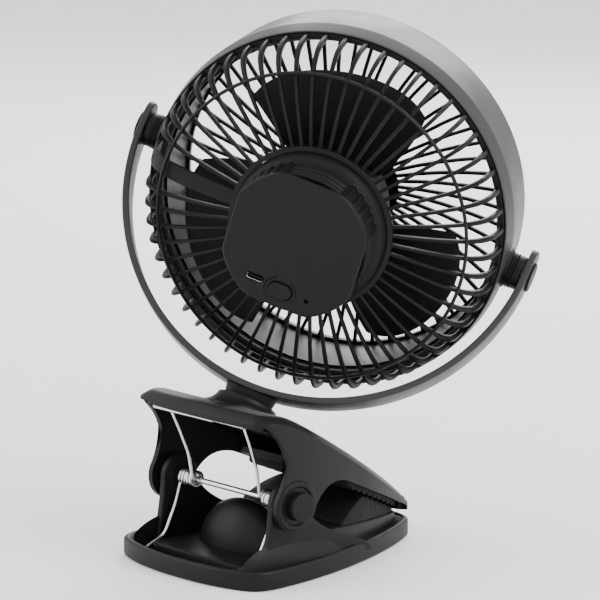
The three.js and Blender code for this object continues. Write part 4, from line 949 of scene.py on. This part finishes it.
def bars(line, angles, width, depth, steps=None, lean=0.0):
    """Equal bars round the fan axis. Each is a rounded section carried along a line of (radius, y)
    points; width and depth may vary along it, and `lean` turns its outer end on by an angle."""
    line = line if steps is None else line[np.linspace(0, len(line) - 1, steps).astype(int)]
    run = np.gradient(line, axis=0)
    run /= np.linalg.norm(run, axis=1)[:, None]
    normal = np.column_stack([run[:, 1], -run[:, 0]])
    turn = np.linspace(0, 2 * math.pi, 10, endpoint=False)
    section_x = np.sign(np.cos(turn)) * np.abs(np.cos(turn)) ** 0.6
    section_y = np.sign(np.sin(turn)) * np.abs(np.sin(turn)) ** 0.6
    width = np.broadcast_to(width, len(line)) / 2
    depth = np.broadcast_to(depth, len(line)) / 2
    spots = line[:, None] + normal[:, None] * (section_y[None, :] * depth[:, None])[..., None]
    sideways = section_x[None, :] * width[:, None]
    share = np.linspace(0, 1, len(line))[:, None]
    made = []
    for angle in angles:
        across = angle + lean * share
        x = spots[..., 0] * np.cos(across) - sideways * np.sin(across)
        z = spots[..., 0] * np.sin(across) + sideways * np.cos(across)
        grid = np.stack([x, spots[..., 1], z], -1)
        ends = [np.repeat(grid[k].mean(0)[None, None], 10, 1) for k in (0, -1)]
        made.append((in_head(np.concatenate([ends[0], grid, ends[1]])), False, True))
    return made


pitch = 2 * math.pi / rib_count
rib_angles = [angle for angle in (np.arange(rib_count) + 0.5) * pitch if abs(angle - math.pi) > pitch]
rib_share = np.linspace(0, 1, 22)
guard_parts = bars(rib_line, rib_angles, 1.8 + 0.9 * rib_share**2,
                   2.6 + 1.5 * np.exp(-((rib_share - 0.62) / 0.16) ** 2) + 0.3 * rib_share, 22)
guard_parts += bars(rib_line, [math.pi], 9.5, 2.6, 30)


def square_ring(inner, outer, low, high, cut=0.5, steps=3):
    """A rectangular section with softened corners, turned round the fan axis."""
    section = [(inner, low), (outer, low), (outer, high), (inner, high), (inner, low)]
    return (round_blow_axis(soften(section, cut, steps)), False, True)


hoop_turn = np.linspace(0, 2 * math.pi, 11)
hoop = np.column_stack([81.5 + 0.95 * np.cos(hoop_turn), -42.2 + 1.3 * np.sin(hoop_turn)])
root_band = soften([(40.9, -44), (43.3, -43.6), (43.3, -40), (40.9, -40), (40.9, -44)], 0.5, 3)
guard_parts += [square_ring(91.4, 94.1, -15.4, -11.6), (round_blow_axis(root_band), False, True),
                (round_blow_axis(hoop), False, True)]
piece("guard_behind", guard_parts, "head", black_shell, ["rear_guard"])

# ---------------------------------------------------------------------------------------------
# Front guard: thin black ribs that sweep a little, from a rim in the ring to a centre plate,
# which carries a plain grey badge with a dished face.

front_y = 27.0
front_line = np.column_stack([np.linspace(26.5, 88.2, 6), np.full(6, front_y)])
front_angles = math.pi / 2 - np.arange(rib_count) * pitch
front_parts = bars(front_line, front_angles, 2.0, 2.4, lean=-math.radians(7))
# The thin black sleeve inside the ring's bore is partly a guard wall and partly painted shade that keeps the
# shadowed bore dark.
front_parts += [
    square_ring(86.8, 89.1, 25.4, 28.6, 0.6), square_ring(88.2, 89.2, -7, 27, 0.3, 2),
    (round_blow_axis(soften([(0, 25.4), (27, 25.4), (27, 27.6), (0, 27.6)], 0.5)), False, True),
]
piece("guard_in_front", front_parts, "head", black_shell, ["front_guard"])
badge = soften([(0, 27.9), (25.8, 27.9), (25.8, 29.1), (24.3, 29.9), (22.6, 29.75), (0, 29.3)], 0.5)
piece("centre_badge", [(round_blow_axis(badge), False, True)], "head",
      grey_shell, ["front_badge"])

# ---------------------------------------------------------------------------------------------
# Rear housing: the drum that holds cells and board. Its wall is ribbed with short fins between
# four scoops, and each scoop has three curved vent slots; the cover's flats lie over the scoops.


def drum():
    """A turned wall whose radius varies with the angle: a wave of six fins in each quarter, and in
    each scoop a shallow hollow with three steps. Windows fade both out at their ends."""
    line = soften([
        (5.3, -24.3), (30, -24.1), (34, -28), (34, -39.7), (40.4, -40.4), (40.6, -41.5),
        (40.6, -46.5), (39.6, -49),
        (37.2, -51), (37.0, -67.7), (35.1, -67.7), (35.1, -43), (31.9, -38), (31.9, -29.2), (28, -27.1),
        (5.3, -27.1), (5.3, -24.3),
    ], 0.7, 5)
    side = np.column_stack([np.full(70, 37.0), np.linspace(-51.2, -67.2, 70)])
    cut = int(np.argmin(np.hypot(line[:, 0] - 37.0, line[:, 1] + 67.0)))
    start = int(np.argmin(np.hypot(line[:, 0] - 37.1, line[:, 1] + 51.5)))
    line = np.concatenate([line[:start], side, line[cut:]])
    grid = turned(line, 540)
    turn = np.linspace(0, 2 * math.pi, 540, endpoint=False)
    quarter = (np.degrees(turn) + 45) % 90 - 45
    outer = (line[:, 0] > 36.2) & (line[:, 1] < -48.5)
    y = line[:, 1:]
    along = np.clip(np.minimum((-50.2 - y) / 1.5, (y + 67.6) / 1.0), 0, 1)
    scoop = np.clip((25 - np.abs(quarter)) / 3, 0, 1)[None, :]
    steps = 0.5 - 0.5 * np.cos(2 * math.pi * (y + 52) / 4.6)
    fin_zone = np.clip((np.abs(quarter) - 26) / 1.5, 0, 1)[None, :]
    fins = np.clip(1.6 * np.cos(np.radians((np.abs(quarter) - 45) * 42)), -0.2, 1)[None, :]
    change = along * (scoop * (-2.0 + 1.1 * steps**2) + fin_zone * fins * 0.9) * outer[:, None]
    grid[..., 0] += change * np.cos(turn)
    grid[..., 1] += change * np.sin(turn)
    return (in_head(np.stack([grid[..., 0], grid[..., 2], grid[..., 1]], -1)), True, True)


piece("drum", [drum()], "head", dark_shell, ["rear_housing"])

# ---------------------------------------------------------------------------------------------
# Back cover: a flat black disc with four flats and a rounded rim. A row of controls crosses it
# below the middle: the charging slot, a button in a dished oval, and a pinhole lens.

cover_face = -71.5
control_z = -25.8
slot_x, slot_lift, lens_x = -14.3, 2.2, 14.3


def oval(x, z, centre_x, half_length, half_height, lift=0.0):
    """Distance outside a flat-sided oval whose middle is `lift` above the control row, negative inside."""
    straight = half_length - half_height
    return np.hypot(np.maximum(np.abs(x - centre_x) - straight, 0), z - control_z - lift) - half_height


def step(distance, width=0.12):
    """1 inside, 0 outside, with a short slope between."""
    return np.clip(0.5 - distance / (2 * width), 0, 1)


def cover():
    """The face is a polar grid, finer over the controls, and its depth there follows the distance
    from each opening: a deep slot, a shallow dish with a deep oval in it, and a pinhole."""
    fine = np.radians(np.arange(232, 308, 0.28))
    coarse = np.radians(np.arange(-52, 232, 1.0))
    turn = np.concatenate([coarse, fine])
    flat = (np.degrees(turn) + 45) % 90 - 45
    flat_radius = 35.0 / np.cos(np.radians(flat))
    edge = -np.log(np.exp(-flat_radius * 2.5) + np.exp(-38.3 * 2.5)) / 2.5
    radii = np.concatenate([[0.0, 6, 12, 17], np.arange(20.5, 31.5, 0.2), [32.5, 33.5]])
    rows = [np.minimum(r, edge - 1.8) for r in radii] + [edge - 1.75]
    levels = [0.0] * (len(radii) + 1)
    turn_in = np.linspace(0, math.pi / 2, 7)[1:]
    rows += [edge - 1.6 + 1.6 * math.sin(a) for a in turn_in] + [edge, edge - 0.3, edge - 1.5, 0 * edge]
    levels += [1.3 * (1 - math.cos(a)) for a in turn_in] + [3.1, 3.5, 3.5, 3.5]
    radius = np.array(rows)
    x, z = radius * np.cos(turn), radius * np.sin(turn)
    face = (np.arange(len(rows)) <= len(radii))[:, None]
    dish = oval(x, z, 0, 8.5, 6.4)
    depth = 0.55 * step(dish, 0.5) - 0.25 * np.exp(-((dish - 0.35) / 0.3) ** 2)
    depth = depth + 2.4 * step(oval(x, z, 0, 6.5, 4.5))
    depth = depth + 2.9 * step(oval(x, z, slot_x, 4.75, 1.85, slot_lift))
    depth = depth + 0.12 * step(np.abs(oval(x, z, slot_x, 5.35, 2.45, slot_lift)) - 0.2)
    depth = depth + 3.0 * step(np.hypot(x - lens_x, z - control_z) - 1.05)
    depth = depth + 0.1 * step(np.abs(np.hypot(x - lens_x, z - control_z) - 2.1) - 0.15)
    y = cover_face + np.array(levels)[:, None] + depth * face
    return (in_head(np.stack([x, y, z], -1)), False, True)


piece("rear_cover", [cover()], "head", black_shell, ["back_cover"])


def oval_ring(half_length, half_height, count=64):
    """Points round a flat-sided oval, as x and z from its centre."""
    turn = np.linspace(-math.pi / 2, math.pi / 2, count // 2)
    straight = half_length - half_height
    right = np.column_stack([straight + half_height * np.cos(turn), half_height * np.sin(turn)])
    return np.concatenate([right, -right])


def oval_rows(centre_x, rows, lift=0.0):
    """Ovals given as (half length, half height, y), `lift` above the control row."""
    grid = []
    for half_length, half_height, y in rows:
        ring = oval_ring(half_length, half_height)
        level = np.full(len(ring), y)
        grid.append(np.column_stack([ring[:, 0] + centre_x, level, ring[:, 1] + control_z + lift]))
    return in_head(np.array(grid))


button_face = -72.3
button = oval_rows(0, [
    (2.0, 0.02, button_face + 0.35), (4.0, 2.0, button_face + 0.25), (5.2, 3.2, button_face + 0.02),
    (5.7, 3.7, button_face), (6.05, 4.05, button_face + 0.2), (6.2, 4.2, button_face + 0.6),
    (6.2, 4.2, -69.5), (2.0, 0.02, -69.5),
])
piece("button_oval", [(button, False, True)], "button", black_shell, ["power_button"])

shell = oval_rows(slot_x, [
    (4.6, 1.7, -70.9), (4.45, 1.55, -71.15), (4.25, 1.35, -70.9), (4.2, 1.3, -68.2), (3.0, 0.02, -68.2),
    (3.0, 0.02, -67.9), (4.6, 1.7, -67.9), (4.6, 1.7, -70.9),
], slot_lift)
tongue = oval_rows(slot_x, [
    (3.1, 0.02, -70.4), (3.2, 0.32, -70.35), (3.3, 0.36, -68.0), (3.1, 0.02, -68.0),
], slot_lift)
piece("charging_shell", [(shell, False, True)], "head", steel, ["usb_socket"])
piece("charging_tongue", [(tongue, False, True)], "head", dark_shell)

lens_glass = moulded("lens_plastic", (0.05, 0.05, 0.05), (0.1, 0.2), depth=0.000002, wear=0.0, dust=0.01)
lens_turn = turned(soften([(0, -69.1), (0.82, -69.05), (0.85, -66.2), (0, -66.2)], 0.2, 3), 32)
lens = np.stack([lens_turn[..., 0] + lens_x, lens_turn[..., 2], lens_turn[..., 1] + control_z], -1)
piece("lamp_lens", [(in_head(lens), False, True)], "head", lens_glass, ["led_lens"])

# ---------------------------------------------------------------------------------------------
# Impeller: a black hub cup with three wide blades that twist and lean back to their tips.

hub_radius, hub_front, hub_rear = 28.5, 9.0, -21.0
blade_tip = 77.0


def blade(first):
    """Across the blade runs -1 to 1, outwards 0 to 1. The angle is a share of a span that narrows
    outwards about a middle that leads at the root, y rises across it over a cambered middle, and
    the thickness fades at every rim."""
    fade_start = 0.94
    rim_turn = np.linspace(0, math.pi / 2, 8)[1:]
    outward = np.concatenate([np.linspace(0, fade_start, 30), fade_start + 0.06 * np.sin(rim_turn)])
    over = np.sin(np.linspace(-math.pi / 2, math.pi / 2, 40))
    out, run = outward[:, None], over[None, :]
    root = hub_radius - 1
    radius = root + out * (blade_tip - root) * (1 - 0.12 * out * run**4)
    angle = np.radians(run * (86 + (74 - 86) * out) / 2 + 7 * (1 - out))
    middle = -9 - 7 * out - 3 * (1 - run**2)
    thick = 1.1 * np.sqrt(np.clip(1 - run**4, 0, 1)) * np.sqrt(np.clip((1 - out) / 0.06, 0, 1))
    thick = thick * np.clip(out / 0.02, 0, 1)
    faces = []
    for way in (1, -1):
        y = middle + run * 11 + way * thick
        turn = math.pi / 2 - angle + first
        faces.append(np.stack([radius * np.cos(turn), y, radius * np.sin(turn)], -1))
    return (in_head(np.concatenate([faces[0], faces[1][:, -2:0:-1]], axis=1)), False, True)


blade_first = math.radians(99 - 90)
hub = soften([
    (0, hub_front - 2), (26.4, hub_front - 2), (26.5, hub_rear), (28.5, hub_rear), (28.5, hub_front - 4),
    (24.5, hub_front), (0, hub_front),
], 1.0, 5)
rotor_parts = [(round_blow_axis(hub, 120), False, True)]
rotor_parts += [blade(blade_first - k * 2 * math.pi / 3) for k in range(3)]
rotor_parts.append((round_blow_axis(soften([
    (1.9, -6.5), (5, -6.5), (5, hub_front - 1.5), (1.9, hub_front - 1.5), (1.9, -6.5),
], 0.3, 3), 48), False, True))
piece("blower", rotor_parts, "rotor", dark_shell, ["impeller"])

# ---------------------------------------------------------------------------------------------
# Pieces that keep their plain shapes: plate and feet under the foot, screws, motor, cells, board.


def metal(name, colour, roughness):
    """Plated or wound metal: mottled tone over a fine grain."""
    material, tree, coat = shader(name)
    skin = node(tree, "ShaderNodeGroup", set_node_tree=moulded_grain, **{"Grain Scale": 1200.0})
    shade = np.array(colour)
    tones = node(tree, "ShaderNodeMix", set_data_type="RGBA", Factor=skin.outputs["Mottle"])
    tones.inputs["A"].default_value = (*(shade * 0.8), 1)
    tones.inputs["B"].default_value = (*np.minimum(shade * 1.2, 1), 1)
    tree.links.new(tones.outputs["Result"], coat.inputs["Base Color"])
    rough = node(tree, "ShaderNodeMapRange", Value=skin.outputs["Mottle"])
    rough.inputs["To Min"].default_value = roughness - 0.08
    rough.inputs["To Max"].default_value = roughness + 0.12
    tree.links.new(rough.outputs["Result"], coat.inputs["Roughness"])
    coat.inputs["Metallic"].default_value = 1
    bump = node(tree, "ShaderNodeBump", Height=skin.outputs["Height"], Strength=0.4, Distance=0.00001)
    tree.links.new(bump.outputs["Normal"], coat.inputs["Normal"])
    return material


plated = metal("plated_steel", (0.5, 0.5, 0.49), 0.3)
copper = metal("enamelled_copper", (0.55, 0.25, 0.11), 0.35)
wrap = moulded("cell_wrap", (0.03, 0.09, 0.28), (0.3, 0.4), depth=0.00001)
board = moulded("solder_mask", (0.015, 0.11, 0.045), (0.3, 0.45), grain=500.0, depth=0.00003)
kept = {
    "bottom_plate": dark_shell, "swivel_washer": plated, "swivel_screw": plated, "tilt_screw_left": plated,
    "tilt_screw_right": plated, "motor_can": plated, "motor_shaft": plated, "motor_stator": copper,
    "battery_cell_1": wrap, "battery_cell_2": wrap, "circuit_board": board,
}
kept.update({f"rubber_foot_{number}": rubber for number in (1, 2, 3, 4)})
for name, material in kept.items():
    for place in frame["nodes"][name].material_slots:
        place.material = material
